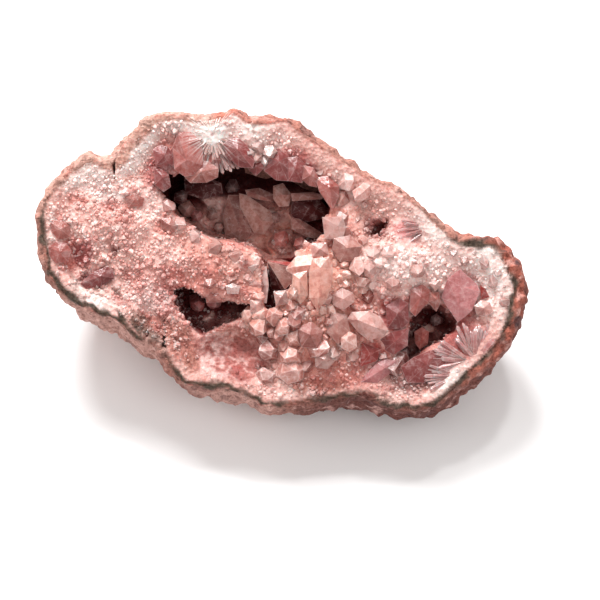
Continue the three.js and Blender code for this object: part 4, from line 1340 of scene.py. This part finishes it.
LEFT_CRYSTALS = [
    ((-22.6, 10.8, -2.6), (-20.0, 9.4, 1.2), 1.4, None),
    ((-20.6, 6.6, -2.6), (-17.8, 6.6, 1.2), 1.4, None),
    ((-17.2, 3.6, -2.6), (-15.0, 4.8, 1.2), 1.5, None),
    ((-13.4, 1.6, -2.6), (-11.4, 3.0, 1.2), 1.6, None),
    ((-9.6, 0.2, -2.6), (-7.4, 1.4, 1.2), 1.6, None),
    ((-6.4, -1.8, -3.0), (-4.4, -0.8, 1.0), 1.5, None),
    ((-5.8, -5.0, -3.0), (-3.8, -4.6, 1.0), 1.4, None),
    ((-9.6, -3.0, -2.0), (-9.4, -4.0, 1.6), 1.2, None),
    ((-13.6, -3.6, -2.0), (-13.4, -5.0, 1.4), 1.2, None),
]
MIDDLE_BLOCKS = [
    ("blush", 2.0, 4, [(7.4, 7.9), (11.2, 8.0), (11.8, 6.0), (11.2, 3.6), (7.9, 4.0)],
     [(10.3, 6.2, 0.5)]),
    ("peach", 1.4, 4, [(9.6, 4.0), (12.6, 4.6), (14.8, 2.5), (14.0, 0.0), (10.7, -0.4),
                       (9.2, 1.8)], [(12.0, 2.2, 1.0)]),
    ("apricot", 1.9, 4, [(5.5, 0.0), (8.7, 0.5), (9.4, -1.7), (9.0, -5.0), (8.3, -7.4),
                         (6.5, -9.4), (5.0, -7.0), (5.0, -2.4)],
     [(7.0, -1.5, 0.9), (6.8, -7.0, 0.9)]),
    ("blush", 1.8, 4, [(9.2, -6.3), (11.1, -5.2), (13.1, -6.1), (13.3, -7.8), (11.2, -9.4),
                       (9.4, -8.3)], [(11.2, -7.2, 1.1)]),
    ("white", 1.8, 4, [(-1.6, -5.8), (0.8, -5.6), (1.3, -8.1), (-1.1, -8.5)], [(-0.2, -7.0, 0.7)]),
    ("blush", 1.8, 4, [(5.2, 3.0), (8.2, 3.2), (8.6, 0.9), (5.6, 0.5)], [(7.0, 2.0, 0.5)]),
    ("apricot", 1.5, 4, [(2.0, -2.6), (4.6, -2.0), (4.8, -6.6), (3.4, -8.2), (1.8, -6.0)],
     [(3.2, -3.6, 0.6), (3.3, -6.4, 0.6)]),
    ("peach", 1.3, 4, [(9.2, -9.6), (12.0, -10.2), (12.6, -13.4), (10.4, -15.6), (8.2, -13.4)],
     [(10.4, -11.4, 0.8), (10.4, -13.8, 0.5)]),
    ("salmon", 1.2, 4, [(2.6, -12.6), (5.4, -11.4), (7.6, -13.2), (6.6, -16.4), (3.6, -16.0)],
     [(5.2, -13.8, 0.9)]),
    ("white", 1.3, 4, [(6.0, -17.4), (8.8, -16.6), (10.0, -18.4), (8.4, -20.2), (6.2, -19.8)],
     [(7.8, -18.4, 0.9)]),
]
MIDDLE_CRYSTALS = [
    ((3.0, -5.4, -1.6), (2.2, -6.8, 2.6), 1.5, None),
    ((2.6, -11.0, -1.0), (1.8, -12.2, 2.6), 1.5, None),
    ((6.4, -13.6, -1.0), (6.2, -15.0, 2.4), 1.6, None),
    ((1.0, -15.8, -1.6), (0.2, -16.8, 1.8), 1.4, None),
    ((4.6, -19.0, -1.6), (4.2, -20.4, 1.6), 1.5, None),
    ((9.4, -17.0, -2.0), (9.2, -18.0, 1.8), 1.4, "blush"),
    ((11.4, -15.4, -1.6), (11.2, -16.2, 1.8), 1.2, "white"),
    ((12.8, -17.6, -2.0), (12.8, -18.8, 1.4), 1.3, "blush"),
    ((4.4, 0.6, -3.6), (3.4, -0.2, 0.6), 1.5, None),
    ((14.2, 8.0, -3.0), (13.8, 7.2, 1.0), 1.7, None),
    ((17.0, 1.4, -2.0), (16.6, 0.4, 1.6), 1.5, None),
]
RIGHT_BLOCKS = [
    ("blush", 2.6, 2.2, [(12.0, -10.9), (12.9, -9.6), (16.0, -9.4), (18.2, -10.5), (19.7, -13.1),
                         (18.9, -14.0), (16.0, -14.9), (14.0, -13.3)],
     [(14.0, -11.1, 1.2), (17.3, -12.5, 1.2)]),
    ("mauve", 1.2, 4, [(19.2, -8.5), (21.8, -7.0), (23.4, -8.0), (23.6, -11.5), (22.1, -12.9),
                       (19.6, -12.6)], [(21.4, -10.0, 0.9)]),
    ("mauve", 0.4, 4, [(18.1, -14.8), (20.3, -13.3), (23.5, -12.6), (23.3, -15.9), (20.7, -17.6),
                       (19.1, -16.7)], [(21.1, -15.0, 0.4)]),
    ("red", 0.8, 4, [(14.8, -15.2), (18.3, -16.6), (17.6, -18.7), (14.4, -19.8)],
     [(16.3, -17.4, 0.5)]),
    ("rose", 0.8, 3, [(19.0, -18.3), (21.1, -18.7), (20.7, -20.5), (17.6, -22.9), (13.9, -23.1),
                      (15.5, -21.1), (17.6, -19.0)], [(19.0, -20.0, 0.8), (15.9, -22.0, 0.5)]),
    ("dusky", 1.4, 4, [(23.8, -5.4), (26.0, -4.5), (27.9, -5.9), (27.1, -7.8), (24.7, -10.5),
                       (23.6, -9.4)], [(25.6, -6.9, 1.0)]),
    ("salmon", 1.3, 4, [(27.3, -5.9), (29.2, -5.9), (29.3, -8.1), (28.6, -9.6), (27.1, -7.8)],
     [(28.4, -7.2, 0.7)]),
    ("white", 2.2, 3, [(27.1, -4.3), (29.1, -3.7), (29.6, -4.8), (28.3, -5.8)],
     [(28.3, -4.6, 0.4)]),
    ("rose", 1.4, 4, [(29.5, -7.0), (30.6, -3.5), (33.0, -1.7), (36.3, -4.6), (36.7, -5.9),
                      (35.2, -9.4), (32.6, -11.6)], [(33.2, -5.0, 0.4), (32.8, -8.5, 0.4)]),
    ("red", 0.8, 3, [(36.8, -4.6), (37.7, -5.2), (38.6, -6.9), (36.9, -7.4)], []),
    ("blush", 1.4, 3, [(35.6, -8.5), (36.9, -7.4), (38.5, -7.8), (39.1, -9.4), (37.8, -10.5),
                       (36.1, -10.2)], [(37.3, -8.9, 0.8)]),
    ("mauve", 0.9, 3, [(22.0, -19.8), (24.4, -18.0), (27.6, -16.7), (30.8, -15.9), (31.2, -17.8),
                       (29.2, -20.6), (26.4, -22.8), (23.2, -22.8)], [(26.8, -19.4, 0.5)]),
]
RIGHT_CRYSTALS = [
    ((19.8, 1.6, -1.2), (19.6, 0.8, 2.2), 1.3, None),
    ((16.4, -1.6, -1.2), (16.0, -2.4, 2.4), 1.3, None),
    ((20.6, -4.0, -1.0), (20.4, -5.0, 2.2), 1.3, None),
    ((16.0, -6.4, -1.6), (15.8, -7.6, 1.8), 1.4, "salmon"),
    ((25.0, -1.6, -1.0), (25.2, -2.6, 2.4), 1.3, "white"),
    ((40.8, -1.6, -2.0), (39.6, -2.9, 0.6), 0.8, "frost"),
    ((39.6, -3.4, -2.0), (38.9, -4.6, 1.2), 1.4, "frost"),
    ((41.9, -4.6, -2.0), (41.0, -5.0, 0.2), 0.7, "frost"),
    ((42.0, -8.0, -2.0), (40.4, -7.4, 0.8), 1.2, "white"),
    ((41.4, -11.4, -2.0), (40.2, -10.9, 0.2), 0.8, "frost"),
    ((37.4, 0.0, -2.0), (37.6, -1.6, 1.0), 1.5, "frost"),
    ((36.2, 2.0, -2.0), (35.4, 0.9, 0.4), 0.7, "frost"),
    ((34.2, 0.4, -2.0), (33.6, -0.7, 0.8), 1.0, "white"),
    ((32.0, 2.2, -2.0), (31.7, 0.8, 0.6), 0.8, "frost"),
]

# The pieces that these make: (name, crystals, blocks, whether they stand on the bed, finish)

CLUSTERS = [
    ("fringe_crystals", TOP_FRINGE, FRINGE_BLOCKS, False, "clear_amethyst"),
    ("hollow_crystals", HOLLOW_CRYSTALS, HOLLOW_BLOCKS, False, "dusty_quartz"),
    ("left_crystals", LEFT_CRYSTALS, LEFT_BLOCKS, True, "clear_amethyst"),
    ("middle_crystals", MIDDLE_CRYSTALS, MIDDLE_BLOCKS, True, "clear_amethyst"),
    ("right_crystals", RIGHT_CRYSTALS, RIGHT_BLOCKS, True, "clear_amethyst"),
]

# Fans of thin prisms: (root, first and last direction in degrees, number, length, radius,
# least and greatest rise, hue at the root, hue)

FANS = [
    ((-12.9, 22.6, -1.7), 200, 322, 30, 7.2, 0.42, -0.02, 0.10, "spot", "dusky"),
    ((-12.9, 23.2, -1.3), 188, 340, 26, 4.2, 0.34, 0.10, 0.24, "spot", "peach"),
    ((35.8, -18.6, -1.0), 134, 48, 15, 7.0, 0.58, 0.04, 0.16, "white", "rose"),
    ((34.3, -18.7, -1.0), 204, 142, 11, 6.4, 0.55, 0.04, 0.16, "white", "rose"),
    ((32.8, -21.6, -1.0), 206, 158, 9, 6.2, 0.46, 0.06, 0.18, "white", "rose"),
    ((27.8, 6.2, -1.2), 218, 170, 11, 6.2, 0.42, 0.04, 0.16, "white", "rose"),
]

# How much the prisms of a fan differ: their tones, their directions in degrees, and their
# lengths and radii next to the fan's

FAN_SEED = 30
FAN_SHADES = (0.92, 1.12)
FAN_SWAY = 3
FAN_LENGTHS = (0.8, 1.1)
FAN_RADII = (0.75, 1.2)
# the width of the prisms' face borders, which carry a painted highlight
FAN_HIGHLIGHT_BORDER = 0.08

# Druse: small crystals that cover the bed, grown by Geometry Nodes. Each piece of it has a few
# forms of crystal, and at most so many crystals for each square metre. A crystal's scale is
# the least one and up to so much more, its tone is between two, and its root is sunk in the
# bed by a share of its length.

FORM_COUNT = 7
DRUSE_DENSITY = 3e6
DRUSE_SCALE = (0.55, 0.9)
DRUSE_TONES = (0.84, 1.1)
DRUSE_SUNK = 0.42

# Where the bed is bare, under the rose wedge, given as the shelf is. Then places as (u, v,
# reach): where the coarse crystals are thick, where they are large, and where the fine ones
# are fewer and larger.

BARE_PLACE = (33.0, -7.5, 4.0, 4.5, 0)
CHUNKY_PLACE = (5, -6, 13)
LARGE_PLACE = (5, -8, 12)
MIDDLE_PLACE = (4, -7, 14)

# The part of a large crystal, from its root, that is under the bed, and half the width of the
# strip that a fan's prism keeps clear

BURIED = 0.15
FAN_CLEAR = 1.0

# The inputs of the druse's node tree: (name, socket, default)

DRUSE_INPUTS = [
    ("Spacing", "NodeSocketFloat", 0.001),
    ("Size", "NodeSocketFloat", 1.0),
    ("Lean", "NodeSocketFloat", 0.4),
    ("Seed", "NodeSocketInt", 1),
]


def clear_of_crystals(u, v):
    """0 where a large crystal lies over the bed, 1 away from it."""
    clear = np.ones(np.shape(u))
    crystals = (*TOP_FRINGE, *LEFT_CRYSTALS, *MIDDLE_CRYSTALS, *RIGHT_CRYSTALS)
    rods = [(root, tip, radius) for root, tip, radius, _ in crystals]
    for root, first, last, number, length, *_ in FANS:
        for degrees in np.linspace(first, last, number // 2):
            angle = math.radians(degrees)
            reach = length * np.array([math.cos(angle), math.sin(angle)])
            rods.append((root, root[:2] + reach, FAN_CLEAR))
    for root, tip, radius in rods:
        _, off = along_line(u, v, root, tip, BURIED)
        clear = np.minimum(clear, smooth(0.55, 0.95, off / radius))
    for *_, outline, _ in (*FRINGE_BLOCKS, *LEFT_BLOCKS, *MIDDLE_BLOCKS, *RIGHT_BLOCKS):
        clear = np.minimum(clear, smooth(0.1, -0.4, inside_distance(u, v, outline)))
    return clear


def druse_values(points, coarse):
    """How thickly small crystals grow at points of the bed, and how large they are."""
    u, v, w = points.T
    inward = rim_distance(u, v) - rind_wall(u)
    waver = noise(points, 2.0)
    shelf = zone_mask(u, v, waver, *SHELF)
    bare = zone_mask(u, v, waver, *BARE_PLACE)
    band = pale_band(u, v, inward + 0.4 + 0.5 * waver)
    walls = smooth(-0.8, 0.5, carved_depth(u, v, w)) * smooth(-1.5, -3.5, w)
    top = smooth(-4.0, -2.0, w) * (1 - walls)
    thick = top * (1 - 0.5 * band) * (1 - 0.92 * shelf) * (1 - 0.9 * bare)
    thick = thick * clear_of_crystals(u, v)
    if coarse:
        chunky = smooth(-0.2, 0.5, noise(points + 70, 6) + 0.9 * bell(u, v, *CHUNKY_PLACE) - 0.2
                        - 0.9 * smooth(-13, -19, u) - 0.4 * smooth(24, 30, u))
        thick = thick * smooth(1.2, 2.6, inward) * chunky
        size = 0.95 + 0.3 * noise(points + 50, 4) + 0.35 * bell(u, v, *LARGE_PLACE)
    else:
        thick = thick * smooth(0.25, 0.6, inward)
        in_hollow = walls * smooth(7.0, 4.0, v) * 0.5
        thick = np.maximum(thick, in_hollow)
        middle = bell(u, v, *MIDDLE_PLACE)
        thick = thick * (1 - 0.35 * middle)
        size = (0.72 + 0.3 * middle + 0.22 * noise(points + 50, 5)) * (1 - 0.35 * band)
    return thick, np.clip(size, 0.3, 1.6)


def tree_with_inputs(name, inputs):
    """A geometry node tree, the values of its inputs and their identifiers, both by name."""
    tree = bpy.data.node_groups.new(name, "GeometryNodeTree")
    tree.interface.new_socket("Geometry", in_out="INPUT", socket_type="NodeSocketGeometry")
    sockets = {}
    for label, kind, default in inputs:
        socket = tree.interface.new_socket(label, in_out="INPUT", socket_type=kind)
        socket.default_value = default
        sockets[label] = socket.identifier
    tree.interface.new_socket("Geometry", in_out="OUTPUT", socket_type="NodeSocketGeometry")
    entry = tree.nodes.new("NodeGroupInput")
    given = {socket.name: Value(tree, socket) for socket in entry.outputs if socket.name}
    return tree, given, sockets


def druse_tree(name, forms, material):
    """Node tree that grows crystals on a surface, with the inputs' identifiers by name."""
    tree, given, sockets = tree_with_inputs(name, DRUSE_INPUTS)

    def named(key):
        """What the ground keeps on its points under a name."""
        return add(tree, "GeometryNodeInputNamedAttribute", {"data_type": "FLOAT"},
                   {"Name": key}, "Attribute")

    def random(kind, low, high, salt):
        """A random value for each crystal, its own for each salt."""
        order = ("FLOAT_VECTOR", "FLOAT", "INT").index(kind)
        return add(tree, "FunctionNodeRandomValue", {"data_type": kind},
                   {2 * order: low, 2 * order + 1: high, "Seed": given["Seed"] + salt}, order)

    scatter = add(tree, "GeometryNodeDistributePointsOnFaces", {"distribute_method": "POISSON"},
                  {"Mesh": given["Geometry"], "Distance Min": given["Spacing"],
                   "Density Max": DRUSE_DENSITY, "Density Factor": named("druse"),
                   "Seed": given["Seed"]}, "Points")
    normal = Value(tree, scatter.socket.node.outputs["Normal"])
    sway = add(tree, "ShaderNodeVectorMath", {"operation": "SCALE"},
               {0: random("FLOAT_VECTOR", (-1, -1, -1), (1, 1, 1), 5), "Scale": given["Lean"]})
    axis = add(tree, "ShaderNodeVectorMath", {"operation": "ADD"}, {0: normal, 1: sway})
    upright = add(tree, "FunctionNodeAlignRotationToVector", {"axis": "Z"}, {"Vector": axis})
    spin = add(tree, "FunctionNodeAxisAngleToRotation", None,
               {"Axis": (0, 0, 1), "Angle": random("FLOAT", 0.0, math.tau, 2)})
    turned = add(tree, "FunctionNodeRotateRotation", {"rotation_space": "LOCAL"},
                 {"Rotation": upright, "Rotate By": spin})
    swing = random("FLOAT", 0.0, 1.0, 3)
    least, more = DRUSE_SCALE
    scale = named("size") * given["Size"] * (swing * swing * more + least)
    source = add(tree, "GeometryNodeCollectionInfo", {"transform_space": "ORIGINAL"},
                 {"Collection": forms, "Separate Children": True, "Reset Children": True})
    toned = add(tree, "GeometryNodeStoreNamedAttribute", {"data_type": "FLOAT", "domain": "POINT"},
                {"Geometry": scatter, "Name": "tone", "Value": random("FLOAT", *DRUSE_TONES, 6)})
    grown = add(tree, "GeometryNodeInstanceOnPoints", None,
                {"Points": toned, "Instance": source, "Pick Instance": True,
                 "Instance Index": random("INT", 0, len(forms.objects) - 1, 4),
                 "Rotation": turned, "Scale": scale})
    real = add(tree, "GeometryNodeRealizeInstances", None, {"Geometry": grown})
    done = add(tree, "GeometryNodeSetMaterial", None, {"Geometry": real, "Material": material})
    end = tree.nodes.new("NodeGroupOutput")
    tree.links.new(done.socket, end.inputs[0])
    return tree, sockets


def small_forms(seed, squat, border):
    """A collection of small crystals, about 1 mm across, for the druse to choose from."""
    rng = np.random.default_rng(seed)
    forms = bpy.data.collections.new(f"forms_{seed}")
    for number in range(FORM_COUNT):
        length = rng.uniform(*squat)
        points, faces = quartz_form(rng, length, 0.5, spread=0.22, root=0.6)
        edge_highlights = np.zeros(len(points))
        if border:
            points, faces, edge_highlights, _ = bordered(points, faces, border)
        sunk = points - (0, 0, DRUSE_SUNK * length)
        mesh = new_mesh(f"form_{seed}_{number}", sunk * MM, faces)
        set_values(mesh, {"height": np.clip(points[:, 2] / length, 0, 1), "rim": edge_highlights})
        forms.objects.link(bpy.data.objects.new(mesh.name, mesh))
    return forms


def grow_druse(name, mesh, material, settings):
    """Grows small crystals on the bed's mesh and keeps them as one plain mesh."""
    ground = new_object(mesh.name, mesh)
    forms = small_forms(settings["seed"], settings["squat"], settings["border"])
    tree, sockets = druse_tree(name + "_tree", forms, material)
    nodes = ground.modifiers.new("druse", "NODES")
    nodes.node_group = tree
    for label, value in (("Spacing", settings["spacing"] * MM), ("Size", settings["size"]),
                         ("Lean", settings["lean"]), ("Seed", settings["seed"])):
        nodes[sockets[label]] = value
    grown = plain_mesh(ground)
    grown.name = name
    for key in ("druse", "size", "id"):
        if key in grown.attributes:
            grown.attributes.remove(grown.attributes[key])
    grown.polygons.foreach_set("material_index", [0] * len(grown.polygons))
    for form in list(forms.objects):
        bpy.data.objects.remove(form)
    bpy.data.collections.remove(forms)
    finish_piece(name, grown, material)


# What the bed's operator leaves for the druse's: the bed's points, faces and colours

shared = {}

# Parts of the druse, from left to right: (first u, last u, spacing next to the usual one)

DRUSE_PATCHES = {
    "left": (-60, -16.0, 0.92),
    "middle": (-16.0, 13.0, 1.08),
    "right": (13.0, 60, 1.0),
}

# Its layers: the finish, the first seed, a form's least and greatest length for a width of 1,
# the spacing next to the panel's, the panel's name for the width, how far the crystals lean,
# the width of their borders with a painted highlight, and the parts that they grow on

DRUSE_LAYERS = [
    {"name": "druse", "finish": "druse_quartz", "coarse": False, "seed": 11,
     "squat": (0.9, 1.7), "spacing": 1.0, "size": "druse_size", "lean": 0.5, "border": 0,
     "patches": ("left", "middle", "right")},
    {"name": "crystals", "finish": "cluster_quartz", "coarse": True, "seed": 21,
     "squat": (1.0, 1.9), "spacing": 3.2, "size": "cluster_size", "lean": 0.6, "border": 0.05,
     "patches": ("middle", "right")},
]


def length_property(name, description, millimetres):
    """A size for the panel, given in mm and kept in metres."""
    return bpy.props.FloatProperty(name=name, description=description, default=millimetres * MM,
                                   min=0, precision=5, unit="LENGTH", subtype="DISTANCE")


def colour_property(name, description, hue):
    """A colour for the panel, one of the hues at first."""
    return bpy.props.FloatVectorProperty(name=name, description=description, default=HUES[hue],
                                         min=0, max=1, size=3, subtype="COLOR")


class GeodeSizes(bpy.types.PropertyGroup):
    """Sizes of the geode's grain and of the stage"""

    rind_grain: length_property("Rind grain", "Smallest bump of the stone rind", 0.5)
    line_place: length_property("Line's place", "Distance of the dark line from the outline", 1.75)
    band_width: length_property("Pale band", "Least width of the pale quartz inside the rind", 0.9)
    druse_spacing: length_property("Druse spacing", "Least distance between small crystals", 0.5)
    druse_size: length_property("Druse crystals", "Width of the small crystals", 1.15)
    cluster_size: length_property("Cluster crystals", "Width of the middle-sized crystals", 2.5)
    floor_size: length_property("Floor", "Side of the square floor", 1200)


class GeodeColours(bpy.types.PropertyGroup):
    """Colours of the quartz and of the stone"""

    blush: colour_property("Pale quartz", "Most of the crystal bed", "blush")
    snow: colour_property("Snowy quartz", "The sugary patches of the bed", "snow")
    white: colour_property("Band", "The band of quartz just inside the rind", "white")
    apricot: colour_property("Warm quartz", "The big crystals in the middle", "apricot")
    peach: colour_property("Peach quartz", "The ridge left of the middle", "peach")
    salmon: colour_property("Salmon quartz", "Darker places between the crystals", "salmon")
    mauve: colour_property("Amethyst", "The clear crystals of the fringe", "mauve")
    plum: colour_property("Deep amethyst", "The bed behind the fringe's crystals", "plum")
    # The dark of the hollows is partly the quartz's own colour and partly painted shade
    maroon: colour_property("Hollows", "The walls of the hollows", "maroon")
    floor: colour_property("Hollow floor", "The floor of the main hollow", "floor")
    shelf: colour_property("Shelf", "The smooth shelf at the lower left", "shelf")
    line: colour_property("Dark line", "The line between stone and quartz", "line")
    tan: colour_property("Stone", "Most of the rind", "tan")
    ochre: colour_property("Ochre stone", "The rind at the upper left", "ochre")
    brick: colour_property("Brick stone", "The rind at the right end", "brick")


# The rind's form: how its remeshed surface is smoothed as (factor, rounds), its lumps as
# (size, height, place in the noise), the knobs of its right end as (first u, last u, size,
# height), the level under which it stays smooth inside, the heights over the floor between
# which the lumps begin, and the middle of the bowl

RIND_SOFTEN = (0.5, 10)
RIND_GRAIN = [(3.4, 0.35, 0), (1.7, 0.55, 9), (0.9, 0.4, 5)]
RIND_KNOBS = (26, 36, 2.2, 0.5)
RIND_INSIDE = -3
RIND_FOOT = (0.05, 1.5)
BOWL_MIDDLE = np.array([0, 0, 8.0])


class GEODE_OT_rind(bpy.types.Operator):
    """Adds the weathered stone rind with its layered broken edge"""

    bl_idname = "geode.rind"
    bl_label = "Rind"

    def execute(self, context):
        points, triangles = merged_copy("rind")
        ground = new_object("rind_ground", new_mesh("rind_ground", points, triangles.tolist()))
        remesh = ground.modifiers.new("remesh", "REMESH")
        remesh.mode = "VOXEL"
        remesh.voxel_size = size_of("rind_grain")
        soften = ground.modifiers.new("soften", "SMOOTH")
        soften.factor, soften.iterations = RIND_SOFTEN
        even = plain_mesh(ground)
        points = np.array([vert.co for vert in even.vertices])
        faces = facing_out(points, [list(face.vertices) for face in even.polygons])
        normals = vertex_normals(points, faces)
        left, right, size, height = RIND_KNOBS
        knobs = smooth(left, right, points[:, 0]) * height * np.abs(noise(points + 3, size))
        inside = inner_side(points, normals) & (points[:, 2] < RIND_INSIDE)
        lift = np.where(inside, 0, roughness(points, RIND_GRAIN) + knobs)
        lift = lift * smooth(*RIND_FOOT, place(points)[:, 2] / MM)
        points = points + normals * lift[:, None]
        mesh = new_mesh("stone_rind", place(points), faces)
        mesh.validate()
        set_tint(mesh, tints(points, rind=True))
        rind = finish_piece("stone_rind", mesh, stone_material())
        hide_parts("rind")
        return {"FINISHED"}


def inner_side(points, normals):
    """Where a surface of the rind looks into the bowl."""
    inward = BOWL_MIDDLE - points
    return (inward * normals).sum(1) > 0.3 * np.linalg.norm(inward, axis=1)


class GEODE_OT_bed(bpy.types.Operator):
    """Adds the quartz bed with its hollows"""

    bl_idname = "geode.bed"
    bl_label = "Quartz bed"

    def execute(self, context):
        points, faces = surface(*bed_field())
        faces = facing_out(points, faces)
        colours = tints(points)
        shared["bed"] = (points, faces, colours)
        mesh = new_mesh("quartz_bed", place(points), faces)
        mesh.validate()
        set_tint(mesh, colours)
        bed = finish_piece("quartz_bed", mesh, bed_material())
        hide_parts("crystal_crust")
        return {"FINISHED"}


class GEODE_OT_druse(bpy.types.Operator):
    """Grows the small crystals that cover the bed"""

    bl_idname = "geode.druse"
    bl_label = "Druse"

    def execute(self, context):
        points, faces, colours = shared["bed"]
        for layer in DRUSE_LAYERS:
            material = crystal_material(layer["finish"])
            thick, sizes = druse_values(points, layer["coarse"])
            for number, (patch, (left, right, spacing)) in enumerate(DRUSE_PATCHES.items()):
                if patch not in layer["patches"]:
                    continue
                name = f"{layer['name']}_{patch}"
                mesh = new_mesh(name + "_ground", place(points), faces)
                set_tint(mesh, colours)
                here = (points[:, 0] > left) & (points[:, 0] <= right)
                set_values(mesh, {"druse": thick * here, "size": sizes})
                grow_druse(name, mesh, material,
                           {**layer, "seed": layer["seed"] + number,
                            "spacing": layer["spacing"] * spacing * size_of("druse_spacing"),
                            "size": size_of(layer["size"])})
        return {"FINISHED"}


class GEODE_OT_crystals(bpy.types.Operator):
    """Adds the large crystals of the fringe, the hollows and the bed"""

    bl_idname = "geode.crystals"
    bl_label = "Large crystals"

    def execute(self, context):
        finishes = {name: crystal_material(name) for name in ("clear_amethyst", "dusty_quartz")}
        for seed, (name, crystals, blocks, on_bed, finish) in enumerate(CLUSTERS):
            cluster = Cluster(seed)
            for root, tip, radius, hue in crystals:
                lift = np.array([0, 0, float(bed_height(*root[:2])) if on_bed else 0])
                cluster.grow(np.array(root) + lift, np.array(tip) + lift, radius, hue)
            for hue, level, depth, outline, ridge in blocks:
                lift = float(bed_height(*np.mean(outline, 0))) if on_bed else 0
                cluster.block(hue, level + lift, depth, outline, ridge)
            if name == "hollow_crystals":
                add_spire(cluster)
            cluster.piece(name, finishes[finish])
        return {"FINISHED"}


def add_spire(cluster):
    """Adds the big pointed crystal of the cleft, its faces painted lit and shaded."""
    for hue, corners in SPIRE_LIT_AND_SHADED_FACES:
        top = np.array(corners)
        middle = top.mean(0)
        foot = middle + (top - middle) * SPIRE_FOOT - (0, 0, SPIRE_DEPTH)
        points, faces = hull(np.concatenate([top, foot]))
        cluster.join(points, faces, np.tile(hue_of(hue), (len(points), 1)),
                     np.full(len(points), SPIRE_HEIGHT))


class GEODE_OT_fans(bpy.types.Operator):
    """Adds the fans of thin clear prisms"""

    bl_idname = "geode.fans"
    bl_label = "Prism fans"

    def execute(self, context):
        cluster = Cluster(FAN_SEED, FAN_SHADES)
        for root, first, last, number, length, radius, low, high, root_hue, hue in FANS:
            for degrees in np.linspace(first, last, number):
                angle = math.radians(degrees + cluster.rng.uniform(-FAN_SWAY, FAN_SWAY))
                reach = length * cluster.rng.uniform(*FAN_LENGTHS)
                rise = cluster.rng.uniform(low, high)
                tip = (root[0] + reach * math.cos(angle), root[1] + reach * math.sin(angle),
                       root[2] + reach * rise)
                cluster.grow(root, tip, radius * cluster.rng.uniform(*FAN_RADII), hue, root_hue,
                             FAN_HIGHLIGHT_BORDER)
        cluster.piece("prism_fans", crystal_material("clear_prism"))
        return {"FINISHED"}


# Camera: square to the face, so that its frame's width at the face is known

FRAME_MIDDLE = (3.33, -7.41, 0.0)
FRAME_WIDTH = 0.1111
LENS, SENSOR = 100, 36

# Soft round lights: (place from where the camera looks, width, power), and the sky's
# colour and strength. The floor is pale and dull.

LIGHTS = {
    "key_light": ((-0.12, 0.36, 0.40), 0.24, 4.2),
    "spark_light": ((0.08, 0.30, 0.46), 0.05, 0.7),
    "side_light": ((-0.45, 0.0, 0.35), 0.3, 0.4),
    "fill_light": ((0.25, -0.20, 0.50), 0.35, 0.5),
}
SKY_COLOUR = (1, 0.95, 0.935, 1)
SKY_STRENGTH = 0.64
FLOOR_FINISH = {"Base Color": (0.93, 0.93, 0.93, 1), "Roughness": 0.7, "Specular IOR Level": 0.2}


def aim(thing, target):
    """Turns a light or a camera to look at a point."""
    thing.rotation_euler = (Vector(target) - thing.location).to_track_quat("-Z", "Y").to_euler()


class GEODE_OT_stage(bpy.types.Operator):
    """Adds the floor, the soft lights and the camera"""

    bl_idname = "geode.stage"
    bl_label = "Stage"

    def execute(self, context):
        scene = context.scene
        target = Vector(place([FRAME_MIDDLE])[0])
        camera = new_object("camera", bpy.data.cameras.new("camera"))
        camera.data.lens, camera.data.sensor_width = LENS, SENSOR
        camera.data.clip_start, camera.data.clip_end = 0.01, 10
        camera.location = target + Vector(FACE_AXES[2]) * (FRAME_WIDTH * LENS / SENSOR)
        aim(camera, target)
        scene.camera = camera
        half = size_of("floor_size") * MM / 2
        corners = [(-half, -half, 0), (half, -half, 0), (half, half, 0), (-half, half, 0)]
        floor = new_object("floor", new_mesh("floor", corners, [(0, 1, 2, 3)]))
        material, tree = new_material("pale_floor")
        shader(tree, FLOOR_FINISH)
        floor.data.materials.append(material)
        scene.world = bpy.data.worlds.new("studio")
        scene.world.use_nodes = True
        sky = scene.world.node_tree.nodes["Background"].inputs
        sky["Color"].default_value = SKY_COLOUR
        sky["Strength"].default_value = SKY_STRENGTH
        scene.view_settings.view_transform = "Standard"
        for name, (where, size, power) in LIGHTS.items():
            light = new_object(name, bpy.data.lights.new(name, "AREA"))
            light.data.shape, light.data.size, light.data.energy = "DISK", size, power
            light.location = target + Vector(where)
            aim(light, target)
        return {"FINISHED"}


class GEODE_PT_panel(bpy.types.Panel):
    """Lists the steps that build the geode"""

    bl_idname = "GEODE_PT_panel"
    bl_label = "Pink amethyst geode"
    bl_space_type = "VIEW_3D"
    bl_region_type = "UI"
    bl_category = "Geode"

    def draw(self, context):
        for group in (context.scene.geode_sizes, context.scene.geode_colours):
            for key in group.bl_rna.properties.keys():
                if key in group.__annotations__:
                    self.layout.prop(group, key)
        for operator in OPERATORS:
            self.layout.operator(operator.bl_idname)


OPERATORS = [GEODE_OT_stage, GEODE_OT_rind, GEODE_OT_bed, GEODE_OT_druse, GEODE_OT_crystals,
             GEODE_OT_fans]
CLASSES = [GeodeSizes, GeodeColours, *OPERATORS, GEODE_PT_panel]


def register():
    """Registers the classes and gives the scene its sizes and colours."""
    for one in CLASSES:
        bpy.utils.register_class(one)
    bpy.types.Scene.geode_sizes = bpy.props.PointerProperty(type=GeodeSizes)
    bpy.types.Scene.geode_colours = bpy.props.PointerProperty(type=GeodeColours)


def unregister():
    """Takes back all that register does."""
    del bpy.types.Scene.geode_sizes
    del bpy.types.Scene.geode_colours
    for one in reversed(CLASSES):
        bpy.utils.unregister_class(one)


def main():
    """Builds the geode and its stage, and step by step."""
    register()
    for operator in OPERATORS:
        group, step = operator.bl_idname.split(".")
        getattr(getattr(bpy.ops, group), step)()
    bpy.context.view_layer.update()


if __name__ == "__main__":
    main()
